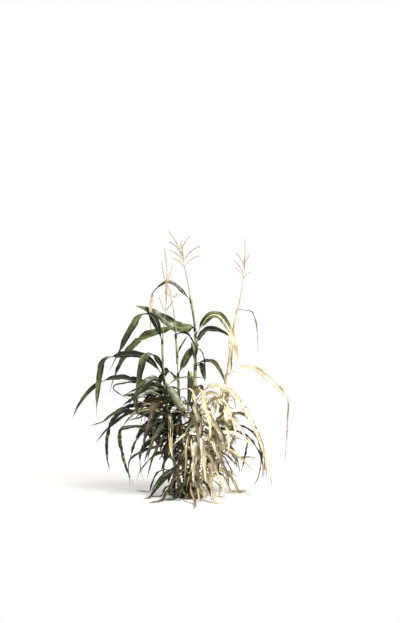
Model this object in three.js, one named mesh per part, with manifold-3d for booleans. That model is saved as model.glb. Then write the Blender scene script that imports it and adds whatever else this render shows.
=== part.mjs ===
// A maize plant at the end of its season: a clump of six stems from one root crown, with its leaves,
// ears and tassels. Each stem is a solid cane, and each leaf is a sheath that wraps the cane and a
// blade that arches away from the collar at the sheath's top.
// Millimetres, +Z up. The origin is the middle of the flat cut where the crown meets the ground,
// +X is to the right of the front view and +Y is away from it. Headings are degrees round +Z
// from +X, and lifts are degrees above level.
import * as THREE from "three";
import Module from "manifold-3d";

const wasm = await Module();
wasm.setup();

// Canes: sides of the section, spacing of its rings, and the exponent of the taper.
const SIDES = 8;
const RING = 80;
const TAPER = 0.8;

// Sheaths: wall, working gap to the cane or to the next sheath, gap between two sheaths in line,
// the longest sheath, and how far below its collar a blade is rooted.
const WALL = 1.6;
const GAP = 0.4;
const JOIN = 4;
const SHEATH = 170;
const SUNK = 8;

// Blades: length of one step, rib thickness as a share of the length, thinning to the tip, trough
// depth as a share of the width and its fading to the tip, ruffle as a share of the width, one
// ruffle's length and the lag between the two edges, how sharply a kink turns, least height of the
// course and of any point above the ground, and the room kept round a blade while it looks for a
// free place.
const STEP = 46;
const RIB = 0.011;
const THINNING = 0.25;
const TROUGH = 0.16;
const TROUGH_FADE = 0.8;
const RUFFLE = 0.1;
const RUFFLE_LENGTH = 170;
const RUFFLE_LAG = 2.2;
const KINK = 0.05;
const FLOOR = 3;
const ROOM = 1.2;
const LOWEST = 0.5;

// Room between two pieces that meet, and the least overlap of two solids that counts.
const CLEAR = 0.3;
const OVERLAP = 1e-6;

// A blade that would touch something turns round its stem by these steps until it is clear.
const TURN = 4;
const TURNS = 14;

// Root crown: half width and half depth on the ground and at the top, and its height.
const CROWN = { foot: [78, 58], top: [64, 46], height: 22, sides: 20 };

// Stems: where the axis passes, and the radius of the cane at the foot and at the tip.
const STEMS = {
  main: {
    path: [[0, 0, 0], [14, 0, 350], [30, -5, 885], [0, -5, 1110], [-26, 0, 1250]],
    radius: [11.5, 2.6],
  },
  left: {
    path: [[-44, -20, 0], [-105, -55, 313], [-143, -70, 698], [-148, -70, 863], [-135, -68, 1001]],
    radius: [9.5, 2.4],
  },
  inner: {
    path: [
      [-22, -14, 0], [-44, -35, 313], [-66, -40, 690], [-75, -42, 863], [-86, -42, 1001],
      [-102, -42, 1090],
    ],
    radius: [7.5, 2.2],
  },
  right: {
    path: [
      [40, 12, 0], [99, 30, 203], [154, 40, 396], [205, 50, 670], [248, 55, 962], [270, 55, 1050],
      [296, 51, 1195],
    ],
    radius: [9.5, 2.2],
  },
  front: { path: [[24, -30, 0], [48, -70, 300], [70, -95, 560]], radius: [9.5, 5] },
  back: { path: [[-34, 26, 0], [-95, 75, 200], [-150, 110, 450]], radius: [8.5, 5] },
};

// Leaves: stem, collar height, heading, length, width, lifts [at the collar, past the arch, at the
// tip], bend [place of the arch along the blade, how sharply it turns], roll and twist in degrees,
// and, where the blade is kinked once more, kink [its place, the turn in degrees].
const LEAVES = {
  main_1: ["main", 526, -14, 790, 46, [58, -50, -92], [0.18, 0.1], -40, -10],
  main_front: ["main", 556, -74, 470, 40, [34, -46, -90], [0.26, 0.12], -30, 20],
  main_back: ["main", 610, 97, 500, 44, [44, -44, -86], [0.26, 0.12], 30, -20],
  main_2: ["main", 742, -6, 250, 34, [14, -62, -78], [0.3, 0.12], -50, 0],
  main_3: ["main", 858, 20, 246, 42, [54, -4, -50], [0.3, 0.1], -70, 40],
  main_4: ["main", 904, -12, 495, 46, [58, -55, -96], [0.28, 0.09], -50, 20],
  main_5: ["main", 936, 172, 360, 70, [2, 42, 14], [0.28, 0.07], -60, 20],
  main_6: ["main", 1095, 178, 500, 26, [46, -52, -66], [0.3, 0.08], 30, 60, [0.52, -30]],
  inner_back: ["inner", 650, 122, 430, 38, [30, -48, -88], [0.28, 0.12], 30, 20],
  inner_1: ["inner", 690, -3, 350, 44, [62, -78, -92], [0.45, 0.1], -44, 50],
  inner_2: ["inner", 906, -16, 190, 28, [8, -60, -86], [0.24, 0.1], -50, 30],
  inner_3: ["inner", 938, 172, 560, 50, [-12, -48, -84], [0.31, 0.18], -60, 10],
  left_1: ["left", 165, 188, 240, 24, [-44, -52, -54], [0.35, 0.2], -50, 0],
  left_2: ["left", 300, 178, 380, 24, [-8, -38, -52], [0.3, 0.2], -50, 30, [0.6, -50]],
  left_3: ["left", 336, 174, 385, 30, [38, -52, -95], [0.3, 0.08], -60, 30],
  left_4: ["left", 368, 196, 590, 28, [20, -9, -42], [0.25, 0.15], 40, 120, [0.43, -82]],
  left_5: ["left", 508, 184, 430, 28, [8, -18, -58], [0.4, 0.2], -50, 0, [0.84, 36]],
  left_front: ["left", 486, -112, 430, 36, [30, -46, -86], [0.28, 0.14], -20, 30],
  left_back: ["left", 530, 112, 460, 38, [36, -42, -84], [0.28, 0.14], 20, -30],
  left_6: ["left", 600, 178, 610, 38, [20, -35, -72], [0.48, 0.2], -50, -20],
  left_7: ["left", 618, 0, 240, 14, [40, -4, -8], [0.28, 0.2], -50, 0],
  left_broad: ["left", 656, 208, 260, 46, [14, -44, -62], [0.22, 0.12], -50, 20],
  left_8: ["left", 682, 180, 680, 46, [53, -10, -26], [0.2, 0.1], -55, -40, [0.52, -66]],
  left_9: ["left", 706, 194, 385, 46, [69, -85, -76], [0.28, 0.12], -50, -20],
  left_10: ["left", 872, 184, 570, 50, [72, -61, -66], [0.275, 0.08], -44, -20],
  right_1: ["right", 330, -18, 385, 30, [12, -50, -60], [0.32, 0.08], -50, 50, [0.47, -50]],
  right_2: ["right", 420, -14, 560, 30, [30, -60, -110], [0.22, 0.1], -50, 30],
  right_front: ["right", 470, -82, 440, 34, [30, -46, -88], [0.28, 0.14], -20, 30],
  right_back: ["right", 524, 84, 470, 36, [38, -44, -86], [0.28, 0.14], 20, 30],
  right_3: ["right", 580, -24, 610, 28, [0, -62, -82], [0.08, 0.06], -50, 20],
  right_4: ["right", 680, 0, 755, 34, [24, -44, -44], [0.16, 0.05], -40, 70, [0.52, -50]],
  right_high_back: ["right", 810, 88, 330, 30, [42, -58, -92], [0.26, 0.1], 20, 30],
  right_5: ["right", 1040, 0, 315, 18, [-10, -78, -104], [0.22, 0.05], -30, 50],
  back_1: ["back", 330, 188, 330, 28, [-20, -78, -118], [0.4, 0.12], -50, 50],
  back_2: ["back", 405, 188, 600, 32, [22, -70, -108], [0.41, 0.14], -60, 40],
  back_3: ["back", 440, 180, 450, 28, [18, -30, -60], [0.3, 0.15], -50, 0],
  front_1: ["front", 290, 2, 330, 22, [8, -34, -55], [0.3, 0.2], -70, 0],
  front_2: ["front", 360, 8, 520, 24, [12, -30, -112], [0.35, 0.15], -40, 90],
  front_3: ["front", 500, -40, 420, 30, [40, -60, -95], [0.3, 0.12], -30, 40],
};

// Lower leaves, in groups that share one sheath: stem, lowest and highest collar, count, middle and
// spread of the headings, shortest and longest blade, and the seed of the group's random numbers.
const SKIRTS = {
  left: ["left", 34, 98, 4, 190, 150, 150, 260, 11],
  inner_low: ["inner", 36, 290, 6, 250, 340, 170, 330, 23],
  inner_high: ["inner", 305, 620, 9, 185, 250, 190, 380, 37],
  main_low: ["main", 50, 260, 6, 60, 340, 180, 360, 41],
  main_high: ["main", 275, 480, 7, 40, 340, 220, 420, 59],
  front: ["front", 36, 270, 8, -60, 240, 160, 340, 67],
  right: ["right", 36, 318, 9, 10, 240, 180, 400, 73],
  back: ["back", 36, 318, 9, 150, 230, 180, 420, 89],
};

// Leaves of a group: how far on the next one stands as a share of the spread, scatter of the
// headings in degrees, sharpness of the arch, and the range of each size that is drawn by chance.
const SKIRT = {
  onward: 0.38, scatter: 16, sharp: 0.1,
  rise: [-5, 40], past: [-35, -70], fall: [-80, -110],
  width: [18, 32], place: [0.22, 0.38], roll: [-40, 40], twist: [-80, 80],
};

// Tassels: a twig in line with the tip of its stem, and side branches
// [place along the spike, heading, lift at the root, lift at the tip, length].
const TASSELS = {
  main: {
    stem: "main", heading: 180, lift: [78, 54], length: 230,
    branches: [
      [0.06, 178, 52, 12, 88], [0.1, 2, 48, 16, 96], [0.15, 96, 56, 30, 84], [0.19, 190, 56, 20, 98],
      [0.24, -14, 50, 24, 118], [0.3, -92, 60, 32, 80], [0.36, 168, 62, 30, 100], [0.42, 14, 74, 44, 104],
      [0.5, 70, 70, 40, 64],
    ],
  },
  left: {
    stem: "left", heading: 5, lift: [84, 97], length: 355,
    branches: [
      [0.06, 178, 62, 74, 84], [0.07, 0, 50, 62, 66], [0.2, 100, 64, 70, 110], [0.3, -90, 66, 72, 104],
      [0.44, 186, 72, 86, 130], [0.5, 20, 70, 78, 90],
    ],
  },
  inner: {
    stem: "inner", heading: 175, lift: [82, 70], length: 66,
    branches: [[0.05, 0, 44, 20, 44], [0.1, 12, 20, 4, 48], [0.18, 172, 46, 22, 40], [0.3, 90, 50, 30, 36]],
  },
  right: {
    stem: "right", heading: 20, lift: [84, 92], length: 222,
    branches: [
      [0.06, 10, 50, 34, 52], [0.1, 185, 52, 40, 58], [0.18, 172, 58, 46, 92], [0.24, 90, 58, 44, 70],
      [0.3, -90, 60, 46, 64], [0.36, 182, 62, 52, 84], [0.44, 0, 62, 50, 50],
    ],
  },
};
// Twigs: sides, radii at the root and tip of a spike and of a branch, swelling of the beads of
// flowers, length of a step, how deep a spike is rooted and how far down the stem's tip is kept free.
const TWIG = {
  sides: 3, spike: [3.4, 1.1], branch: [2.4, 0.9], beads: 0.28, step: 22, sunk: 3, stump: 40,
};

// The bend of a twig or an ear, which turns evenly all along.
const EVEN = [0.5, 0.3];

// Ears: stem, height of the shank, heading, lift, length with the shank, and radius of the husk.
const EARS = {
  middle: ["left", 640, -26, -54, 196, 22],
  right_upper: ["right", 398, -50, 24, 120, 25],
  right_lower: ["right", 285, -58, 50, 128, 21],
};
// Husks: sides and rings, the shank as a share of the length and its radius, the stretch of a sine
// arch that the outline takes with its lean and fullness, and the cane kept free below and above.
const HUSK = {
  sides: 10, rings: 7, shank: 0.12, neck: 5, arch: [0.1, 0.86], lean: 0.8, fullness: 0.7,
  free: [60, 120],
};
// Silks: count, length, spread of the headings, wave of the lifts, droop and radii.
const SILK = { count: 4, length: 24, spread: 70, rise: 22, beat: 2.4, droop: 20, radius: [4, 2] };

const material = (color, roughness) => new THREE.MeshStandardMaterial({ color, roughness, metalness: 0 });
const MATERIALS = {
  cane: material(0x8a8a58, 0.55),
  leaf: material(0x59663a, 0.6),
  dry: material(0xb9a77c, 0.8),
  tassel: material(0xb8a270, 0.85),
  husk: material(0xb6ad80, 0.75),
};
const DRY_STEMS = ["right", "front"];

const radians = THREE.MathUtils.degToRad;
const clamp = THREE.MathUtils.clamp;
const smooth = (t) => THREE.MathUtils.smoothstep(t, 0, 1);
const heights = (from, to) => {
  const between = [];
  for (let z = Math.ceil((from + 1) / RING) * RING; z < to - 1; z += RING) between.push(z);
  return [from, ...between, to];
};

// The next number of a fixed sequence between 0 and 1.
const sequence = (seed) => {
  let state = seed >>> 0;
  return () => {
    state = (Math.imul(state, 1664525) + 1013904223) >>> 0;
    return state / 4294967296;
  };
};

// A closed form through rings of the same number of points, with flat ends or one tip point. The
// two faces of a thin sheet are split along the same diagonals, so that they don't cross where it
// twists.
function loft(rings, tip, sheet = false) {
  const count = rings[0].length;
  const points = rings.flat();
  const faces = [];
  for (let i = 0; i + 1 < rings.length; i++) {
    for (let j = 0; j < count; j++) {
      const [a, b] = [i * count + j, i * count + ((j + 1) % count)];
      const under = sheet && j >= count / 2;
      if (under) faces.push(a, b, a + count, b, b + count, a + count);
      else faces.push(a, b, b + count, a, b + count, a + count);
    }
  }
  for (let j = 2; j < count; j++) faces.push(1, (j + 1) % count, j);
  const last = (rings.length - 1) * count;
  if (tip) {
    for (let j = 0; j < count; j++) faces.push(last + j, last + ((j + 1) % count), points.length);
    points.push(tip);
  } else {
    for (let j = 2; j < count; j++) faces.push(last + 1, last + j, last + ((j + 1) % count));
  }
  const geometry = new THREE.BufferGeometry().setFromPoints(points);
  geometry.setIndex(faces);
  return geometry;
}

// A three.js geometry as a solid that can be joined and cut.
function solid(geometry) {
  const vertProperties = Float32Array.from(geometry.attributes.position.array);
  const triVerts = Uint32Array.from(geometry.index.array);
  return new wasm.Manifold(new wasm.Mesh({ numProp: 3, vertProperties, triVerts }));
}

// The largest body of a solid, as a named mesh.
function piece(name, body, finish) {
  const [whole] = body.decompose().sort((a, b) => b.volume() - a.volume());
  const { vertProperties, triVerts } = whole.getMesh();
  const geometry = new THREE.BufferGeometry();
  geometry.setAttribute("position", new THREE.BufferAttribute(vertProperties, 3));
  geometry.setIndex(Array.from(triVerts));
  geometry.computeVertexNormals();
  const mesh = new THREE.Mesh(geometry, finish);
  mesh.name = name;
  return { mesh, body: whole, box: whole.boundingBox() };
}

// The middle of a stem at a height: a smooth curve through its path.
function axis(stem, z) {
  const path = STEMS[stem].path;
  let i = 0;
  while (i < path.length - 2 && z >= path[i + 1][2]) i++;
  const [a, b] = [path[i], path[i + 1]];
  const [before, after] = [path[i - 1] ?? a, path[i + 2] ?? b];
  const h = b[2] - a[2];
  const u = (z - a[2]) / h;
  const along = (k) => {
    const slopeA = (b[k] - before[k]) / (b[2] - before[2]);
    const slopeB = (after[k] - a[k]) / (after[2] - a[2]);
    const near = (2 * u ** 3 - 3 * u ** 2 + 1) * a[k] + (u ** 3 - 2 * u ** 2 + u) * h * slopeA;
    return near + (3 * u ** 2 - 2 * u ** 3) * b[k] + (u ** 3 - u ** 2) * h * slopeB;
  };
  return new THREE.Vector3(along(0), along(1), z);
}

const topOf = (stem) => STEMS[stem].path.at(-1)[2];

function radiusAt(stem, z) {
  const [foot, tip] = STEMS[stem].radius;
  return foot + (tip - foot) * (z / topOf(stem)) ** TAPER;
}

// One level ring round a stem. Between the cane's own rings it lies on their straight sides, so
// that a sheath keeps the same gap to the cane everywhere.
function ring(stem, z, extra) {
  const low = Math.floor(z / RING) * RING;
  const high = Math.min(low + RING, topOf(stem));
  const u = high > low ? (z - low) / (high - low) : 0;
  const middle = axis(stem, low).lerp(axis(stem, high), u);
  const radius = THREE.MathUtils.lerp(radiusAt(stem, low), radiusAt(stem, high), u) + extra;
  return Array.from({ length: SIDES }, (_, j) => {
    const angle = (2 * Math.PI * j) / SIDES;
    return new THREE.Vector3(middle.x + radius * Math.cos(angle), middle.y + radius * Math.sin(angle), z);
  });
}

const cane = (stem, from, to, extra) => solid(loft(heights(from, to).map((z) => ring(stem, z, extra))));

function crown() {
  const oval = ([wide, deep], z) => Array.from({ length: CROWN.sides }, (_, j) => {
    const angle = (2 * Math.PI * j) / CROWN.sides;
    return new THREE.Vector3(wide * Math.cos(angle), deep * Math.sin(angle), z);
  });
  return solid(loft([oval(CROWN.foot, 0), oval(CROWN.top, CROWN.height)]));
}

// How far the turn over the arch has gone at a share t of the length, from 0 to 1.
function turned(t, [place, sharp]) {
  const raw = (x) => Math.tanh((x - place) / sharp);
  return (raw(t) - raw(0)) / (raw(1) - raw(0));
}

// The course of a blade or twig: points with the direction, side and upper face at each.
function course(route) {
  const { start, heading, length, lift, bend, roll = 0, twist = 0, kink = [1, 0] } = route;
  const { lowest = -Infinity, step = STEP } = route;
  const count = Math.max(3, Math.round(length / step));
  const size = length / count;
  const [rise, past, fall] = lift;
  const h = radians(heading);
  const out = new THREE.Vector3(Math.cos(h), Math.sin(h), 0);
  const up = new THREE.Vector3(0, 0, 1);
  const at = start.clone();
  const stations = [];
  for (let i = 0; i <= count; i++) {
    const t = i / count;
    const kinked = kink[1] * turned(t, [kink[0], KINK]);
    let tilt = radians(rise + (past - rise) * turned(t, bend) + (fall - past) * t * t + kinked);
    const least = clamp((lowest - at.z) / size, -1, 1);
    if (Math.sin(tilt) < least) tilt = Math.asin(least);
    const ahead = out.clone().multiplyScalar(Math.cos(tilt)).addScaledVector(up, Math.sin(tilt));
    const side = new THREE.Vector3(-Math.sin(h), Math.cos(h), 0);
    const face = new THREE.Vector3().crossVectors(ahead, side);
    const angle = radians(roll * smooth(t / 0.25) + twist * t);
    side.applyAxisAngle(ahead, angle);
    face.applyAxisAngle(ahead, angle);
    stations.push({ t, at: at.clone(), side, face });
    at.addScaledVector(ahead, size);
  }
  return stations;
}

const bladeWidth = (t, width) => width * Math.min(1, 0.6 + 1.6 * t) * Math.max(1 - t ** 2.6, 0) ** 0.8;

// A blade: a shallow trough with a thick rib, ruffled at its edges, that narrows to a point.
function blade(leaf, room, skip) {
  const stations = course(leaf);
  const thick = leaf.length * RIB;
  const rings = stations.slice(skip, -1).map(({ t, at, side, face }) => {
    const half = bladeWidth(t, leaf.width) / 2 + room;
    const rib = (thick * (1 - THINNING * t)) / 2 + room;
    const trough = TROUGH * leaf.width * smooth(3 * t) * (1 - TROUGH_FADE * t);
    const wave = (shift) => {
      const phase = (2 * Math.PI * t * leaf.length) / RUFFLE_LENGTH + shift;
      return RUFFLE * leaf.width * Math.sin(phase) * smooth(3 * t) * (1 - t);
    };
    const point = (across, up) => {
      const p = at.clone().addScaledVector(side, across).addScaledVector(face, up);
      p.z = Math.max(p.z, LOWEST);
      return p;
    };
    return [
      point(half, trough + wave(0)), point(0, rib),
      point(-half, trough + wave(RUFFLE_LAG)), point(0, -rib),
    ];
  });
  return solid(loft(rings, stations.at(-1).at, true));
}

const touches = (shape, others) => {
  const box = shape.boundingBox();
  const apart = (o) => [0, 1, 2].some((k) => o.box.min[k] > box.max[k] || o.box.max[k] < box.min[k]);
  return others.some((o) => !apart(o) && shape.intersect(o.body).volume() > OVERLAP);
};

// A blade rooted in its sheath, turned round the stem until it is clear of what already stands.
function freeBlade(leaf, others) {
  for (let i = 0; i < TURNS; i++) {
    const heading = leaf.heading + TURN * Math.ceil(i / 2) * (i % 2 ? 1 : -1);
    const h = radians(heading);
    const root = leaf.collar - SUNK;
    const out = radiusAt(leaf.stem, root) + GAP + WALL / 2;
    const start = axis(leaf.stem, root).add(new THREE.Vector3(out * Math.cos(h), out * Math.sin(h), 0));
    const turnedLeaf = { ...leaf, heading, start, lowest: FLOOR + 0.15 * leaf.width };
    if (touches(blade(turnedLeaf, ROOM, 1), others)) continue;
    const clear = blade(turnedLeaf, 0, 0).subtract(keepOff(leaf.stem, root - 2 * SUNK, leaf.top));
    if (!touches(clear, others)) return clear;
  }
  return null;
}

// The space of a stem and the sheaths on it: the bare cane up to a collar, and wider above it.
function keepOff(stem, from, collar) {
  const edge = collar + JOIN / 4;
  const above = cane(stem, edge, topOf(stem), WALL + 2 * GAP);
  return cane(stem, Math.max(from, LOWEST), edge + LOWEST, GAP).add(above);
}

// One leaf, or a group of leaves on one sheath.
function leafNode(name, leaves, from, others) {
  const { stem, top } = leaves[0];
  const wrap = cane(stem, from, top, GAP + WALL);
  let grown = wrap;
  for (const leaf of leaves) {
    const free = freeBlade(leaf, others);
    if (free) {
      grown = grown.add(free);
      others = [...others, { body: free, box: free.boundingBox() }];
    }
  }
  const finish = DRY_STEMS.includes(stem) ? MATERIALS.dry : MATERIALS.leaf;
  return piece(name, grown.subtract(keepOff(stem, from - JOIN, top)), finish);
}

// The leaves of a group, from its own random numbers.
function skirtLeaves([stem, low, high, count, middle, spread, shortest, longest, seed]) {
  const next = sequence(seed);
  const drawn = ([least, most]) => least + (most - least) * next();
  return Array.from({ length: count }, (_, i) => {
    const share = (i + 0.5) / count;
    const turn = spread * (((share + SKIRT.onward * i) % 1) - 0.5);
    const heading = middle + turn + drawn([-SKIRT.scatter / 2, SKIRT.scatter / 2]);
    const length = drawn([shortest, longest]);
    const lift = [SKIRT.rise, SKIRT.past, SKIRT.fall].map(drawn);
    const [width, place, roll, twist] = [SKIRT.width, SKIRT.place, SKIRT.roll, SKIRT.twist].map(drawn);
    const collar = low + (high - low) * share;
    const bend = [place, SKIRT.sharp];
    return { stem, top: high, collar, heading, length, lift, width, bend, roll, twist };
  });
}

// The points of a round section at one station of a course.
function section({ at, side, face }, radius, sides) {
  return Array.from({ length: sides }, (_, j) => {
    const angle = (2 * Math.PI * j) / sides;
    const across = at.clone().addScaledVector(side, radius * Math.cos(angle));
    return across.addScaledVector(face, radius * Math.sin(angle));
  });
}

function twig(start, heading, length, lift, [thick, thin]) {
  const stations = course({ start, heading, length, lift, bend: EVEN, step: TWIG.step });
  const rings = stations.slice(0, -1).map((station, i) => {
    const bead = 1 + TWIG.beads * (i % 2 ? 1 : -1) * smooth(6 * station.t);
    return section(station, THREE.MathUtils.lerp(thick, thin, station.t) * bead, TWIG.sides);
  });
  return { body: solid(loft(rings, stations.at(-1).at)), stations };
}

function tassel(name, { stem, heading, lift, length, branches }) {
  const foot = axis(stem, topOf(stem)).sub(new THREE.Vector3(0, 0, TWIG.sunk));
  const spike = twig(foot, heading, length, [lift[0], lift[1], lift[1]], TWIG.spike);
  let body = spike.body;
  for (const [place, turn, rise, fall, reach] of branches) {
    const station = place * (spike.stations.length - 1);
    const low = Math.floor(station);
    const root = spike.stations[low].at.clone().lerp(spike.stations[low + 1].at, station - low);
    body = body.add(twig(root, turn, reach, [rise, fall, fall], TWIG.branch).body);
  }
  const stump = cane(stem, topOf(stem) - TWIG.stump, topOf(stem) + CLEAR, WALL + GAP);
  return piece(name, body.subtract(stump), MATERIALS.tassel);
}

// A husked ear on its shank, with the dry silks at its tip.
function ear(name, [stem, height, heading, lift, length, radius]) {
  const h = radians(heading);
  const out = radiusAt(stem, height);
  const start = axis(stem, height).add(new THREE.Vector3(out * Math.cos(h), out * Math.sin(h), 0));
  const step = length / HUSK.rings;
  const stations = course({ start, heading, lift: [lift, lift, lift], bend: EVEN, length, step });
  const rings = stations.map((station) => {
    const share = clamp((station.t - HUSK.shank) / (1 - HUSK.shank), 0, 1);
    const [from, stretch] = HUSK.arch;
    const swell = Math.sin(Math.PI * (from + stretch * share) ** HUSK.lean) ** HUSK.fullness;
    const growth = smooth(4 * share + 0.2);
    return section(station, Math.max(radius * swell * growth, HUSK.neck), HUSK.sides);
  });
  let body = solid(loft(rings));
  for (let i = 0; i < SILK.count; i++) {
    const turn = (i / (SILK.count - 1) - 0.5) * SILK.spread;
    const rise = lift + SILK.rise * Math.cos(SILK.beat * i);
    const lifts = [rise, rise, rise - SILK.droop];
    const silk = twig(stations.at(-2).at, heading + turn, SILK.length + step, lifts, SILK.radius);
    body = body.add(silk.body);
  }
  const foot = cane(stem, height - HUSK.free[0], height + HUSK.free[1], WALL + 2 * GAP);
  return piece(name, body.subtract(foot), MATERIALS.husk);
}

// The plant: what stands already is kept clear by whatever comes after it.
const grown = [];
const add = (item) => grown.push(item) && item;

for (const stem of Object.keys(STEMS)) {
  const rooted = stem === "main";
  const bare = cane(stem, rooted ? LOWEST : CROWN.height + CLEAR, topOf(stem), 0);
  const finish = DRY_STEMS.includes(stem) ? MATERIALS.dry : MATERIALS.cane;
  add(piece(`stem_${stem}`, rooted ? crown().add(bare) : bare, finish));
}
for (const [name, sizes] of Object.entries(TASSELS)) add(tassel(`tassel_${name}`, sizes));
for (const [name, sizes] of Object.entries(EARS)) add(ear(`ear_${name}`, sizes));

// Each stem's sheaths from the ground up, as [collar, lowest collar, node name, leaves].
const stacks = Object.fromEntries(Object.keys(STEMS).map((stem) => [stem, []]));
for (const [name, sizes] of Object.entries(LEAVES)) {
  const [stem, collar, heading, length, width, lift, bend, roll, twist, kink] = sizes;
  const leaf = { stem, collar, top: collar, heading, length, width, lift, bend, roll, twist, kink };
  stacks[stem].push({ collar, low: collar, name: `leaf_${name}`, leaves: [leaf] });
}
for (const [name, sizes] of Object.entries(SKIRTS)) {
  const [stem, low, collar] = sizes;
  stacks[stem].push({ collar, low, name: `lower_leaves_${name}`, leaves: skirtLeaves(sizes) });
}
const sheaths = Object.values(stacks).flatMap((stack) => {
  stack.sort((a, b) => a.collar - b.collar);
  return stack.map((entry, i) => {
    const below = i ? stack[i - 1].collar + JOIN : CROWN.height + JOIN;
    return { ...entry, from: Math.max(below, entry.low - SHEATH) };
  });
});

// The sheaths stand before any blade looks for its place, and the single leaves come first.
const wraps = sheaths.map(({ leaves, from, collar }) => {
  const body = cane(leaves[0].stem, from, collar, GAP + WALL);
  return { body, box: body.boundingBox() };
});
const order = sheaths.map((entry, i) => ({ ...entry, i }));
order.sort((a, b) => a.leaves.length - b.leaves.length);
for (const { name, leaves, from, i } of order) {
  const own = grown.find((item) => item.mesh.name === `stem_${leaves[0].stem}`);
  const others = [...grown, ...wraps.filter((_, k) => k !== i)];
  add(leafNode(name, leaves, from, others.filter((item) => item !== own)));
}

const plant = new THREE.Group();
plant.name = "maize_plant";
for (const { mesh } of grown) plant.add(mesh);

export default plant;
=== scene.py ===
# A maize plant at the end of its season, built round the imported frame: a clump of six stems from one
# root crown, with their sheaths, blades, ears and tassels.
# The growth rule and its sizes are in millimetres and degrees, as the solids were drawn, and the
# meshes are in metres. +X is to the right of the front view, +Y is away from it, +Z is up, and the
# origin is at ground level. Headings turn round +Z from +X, and lifts are above level.
import math

import bpy
import numpy as np
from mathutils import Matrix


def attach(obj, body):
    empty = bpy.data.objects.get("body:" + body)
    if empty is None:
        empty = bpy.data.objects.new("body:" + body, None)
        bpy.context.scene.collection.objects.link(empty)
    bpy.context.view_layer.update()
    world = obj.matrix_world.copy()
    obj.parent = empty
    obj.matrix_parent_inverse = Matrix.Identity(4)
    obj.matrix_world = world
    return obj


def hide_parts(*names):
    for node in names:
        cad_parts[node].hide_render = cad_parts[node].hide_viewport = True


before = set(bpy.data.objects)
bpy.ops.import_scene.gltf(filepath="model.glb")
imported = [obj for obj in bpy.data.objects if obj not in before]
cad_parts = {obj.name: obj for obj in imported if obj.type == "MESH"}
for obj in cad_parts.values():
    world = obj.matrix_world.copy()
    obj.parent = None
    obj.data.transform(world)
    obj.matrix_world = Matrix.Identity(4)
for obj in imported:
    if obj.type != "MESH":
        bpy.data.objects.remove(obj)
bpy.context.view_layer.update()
MM = 0.001
# Faces that meet at more than this angle are shaded apart
CREASE = 55

# Sizes of the growth rule. A cane thins towards its tip by the power of the taper. A sheath has a wall,
# a gap from its cane, a gap from the sheath below and a greatest length, and its blade is rooted a
# little below its collar.
TAPER = 0.8
WALL = 1.6
GAP = 0.4
JOIN = 4
SHEATH = 170
SUNK = 8
# The step along a blade, and how sharp a kink is as a share of the length
STEP = 46
KINK = 0.05
NO_KINK = (1, 0)
# The least height of a blade's course, with a share of the width added, and of any point
FLOOR = 3
FLOOR_SHARE = 0.15
LOWEST = 0.5
# A solid blade may be turned round its stem to stand clear of the others: the step of such turns, how
# many there are, and how near the tip of the right one is to a corner of the solid
TURN = 4
TURNS = 14
TIP_MATCH = 1.5
# The slow ruffle of the margins: height as a share of the width, wave length, and the lag between sides
RUFFLE = 0.1
RUFFLE_LENGTH = 170
RUFFLE_LAG = 2.2
# The root crown: its half widths at the foot and the top, and its height
CROWN = {"foot": (78, 58), "top": (64, 46), "height": 22}

# Stems: where the axis passes, and the radius of the cane at the foot and at the tip
STEMS = {
    "main": {
        "path": [(0, 0, 0), (14, 0, 350), (30, -5, 885), (0, -5, 1110), (-26, 0, 1250)],
        "radius": (11.5, 2.6),
    },
    "left": {
        "path": [(-44, -20, 0), (-105, -55, 313), (-143, -70, 698), (-148, -70, 863), (-135, -68, 1001)],
        "radius": (9.5, 2.4),
    },
    "inner": {
        "path": [
            (-22, -14, 0), (-44, -35, 313), (-66, -40, 690), (-75, -42, 863), (-86, -42, 1001),
            (-102, -42, 1090),
        ],
        "radius": (7.5, 2.2),
    },
    "right": {
        "path": [
            (40, 12, 0), (99, 30, 203), (154, 40, 396), (205, 50, 670), (248, 55, 962), (270, 55, 1050),
            (296, 51, 1195),
        ],
        "radius": (9.5, 2.2),
    },
    "front": {"path": [(24, -30, 0), (48, -70, 300), (70, -95, 560)], "radius": (9.5, 5)},
    "back": {"path": [(-34, 26, 0), (-95, 75, 200), (-150, 110, 450)], "radius": (8.5, 5)},
}

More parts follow.
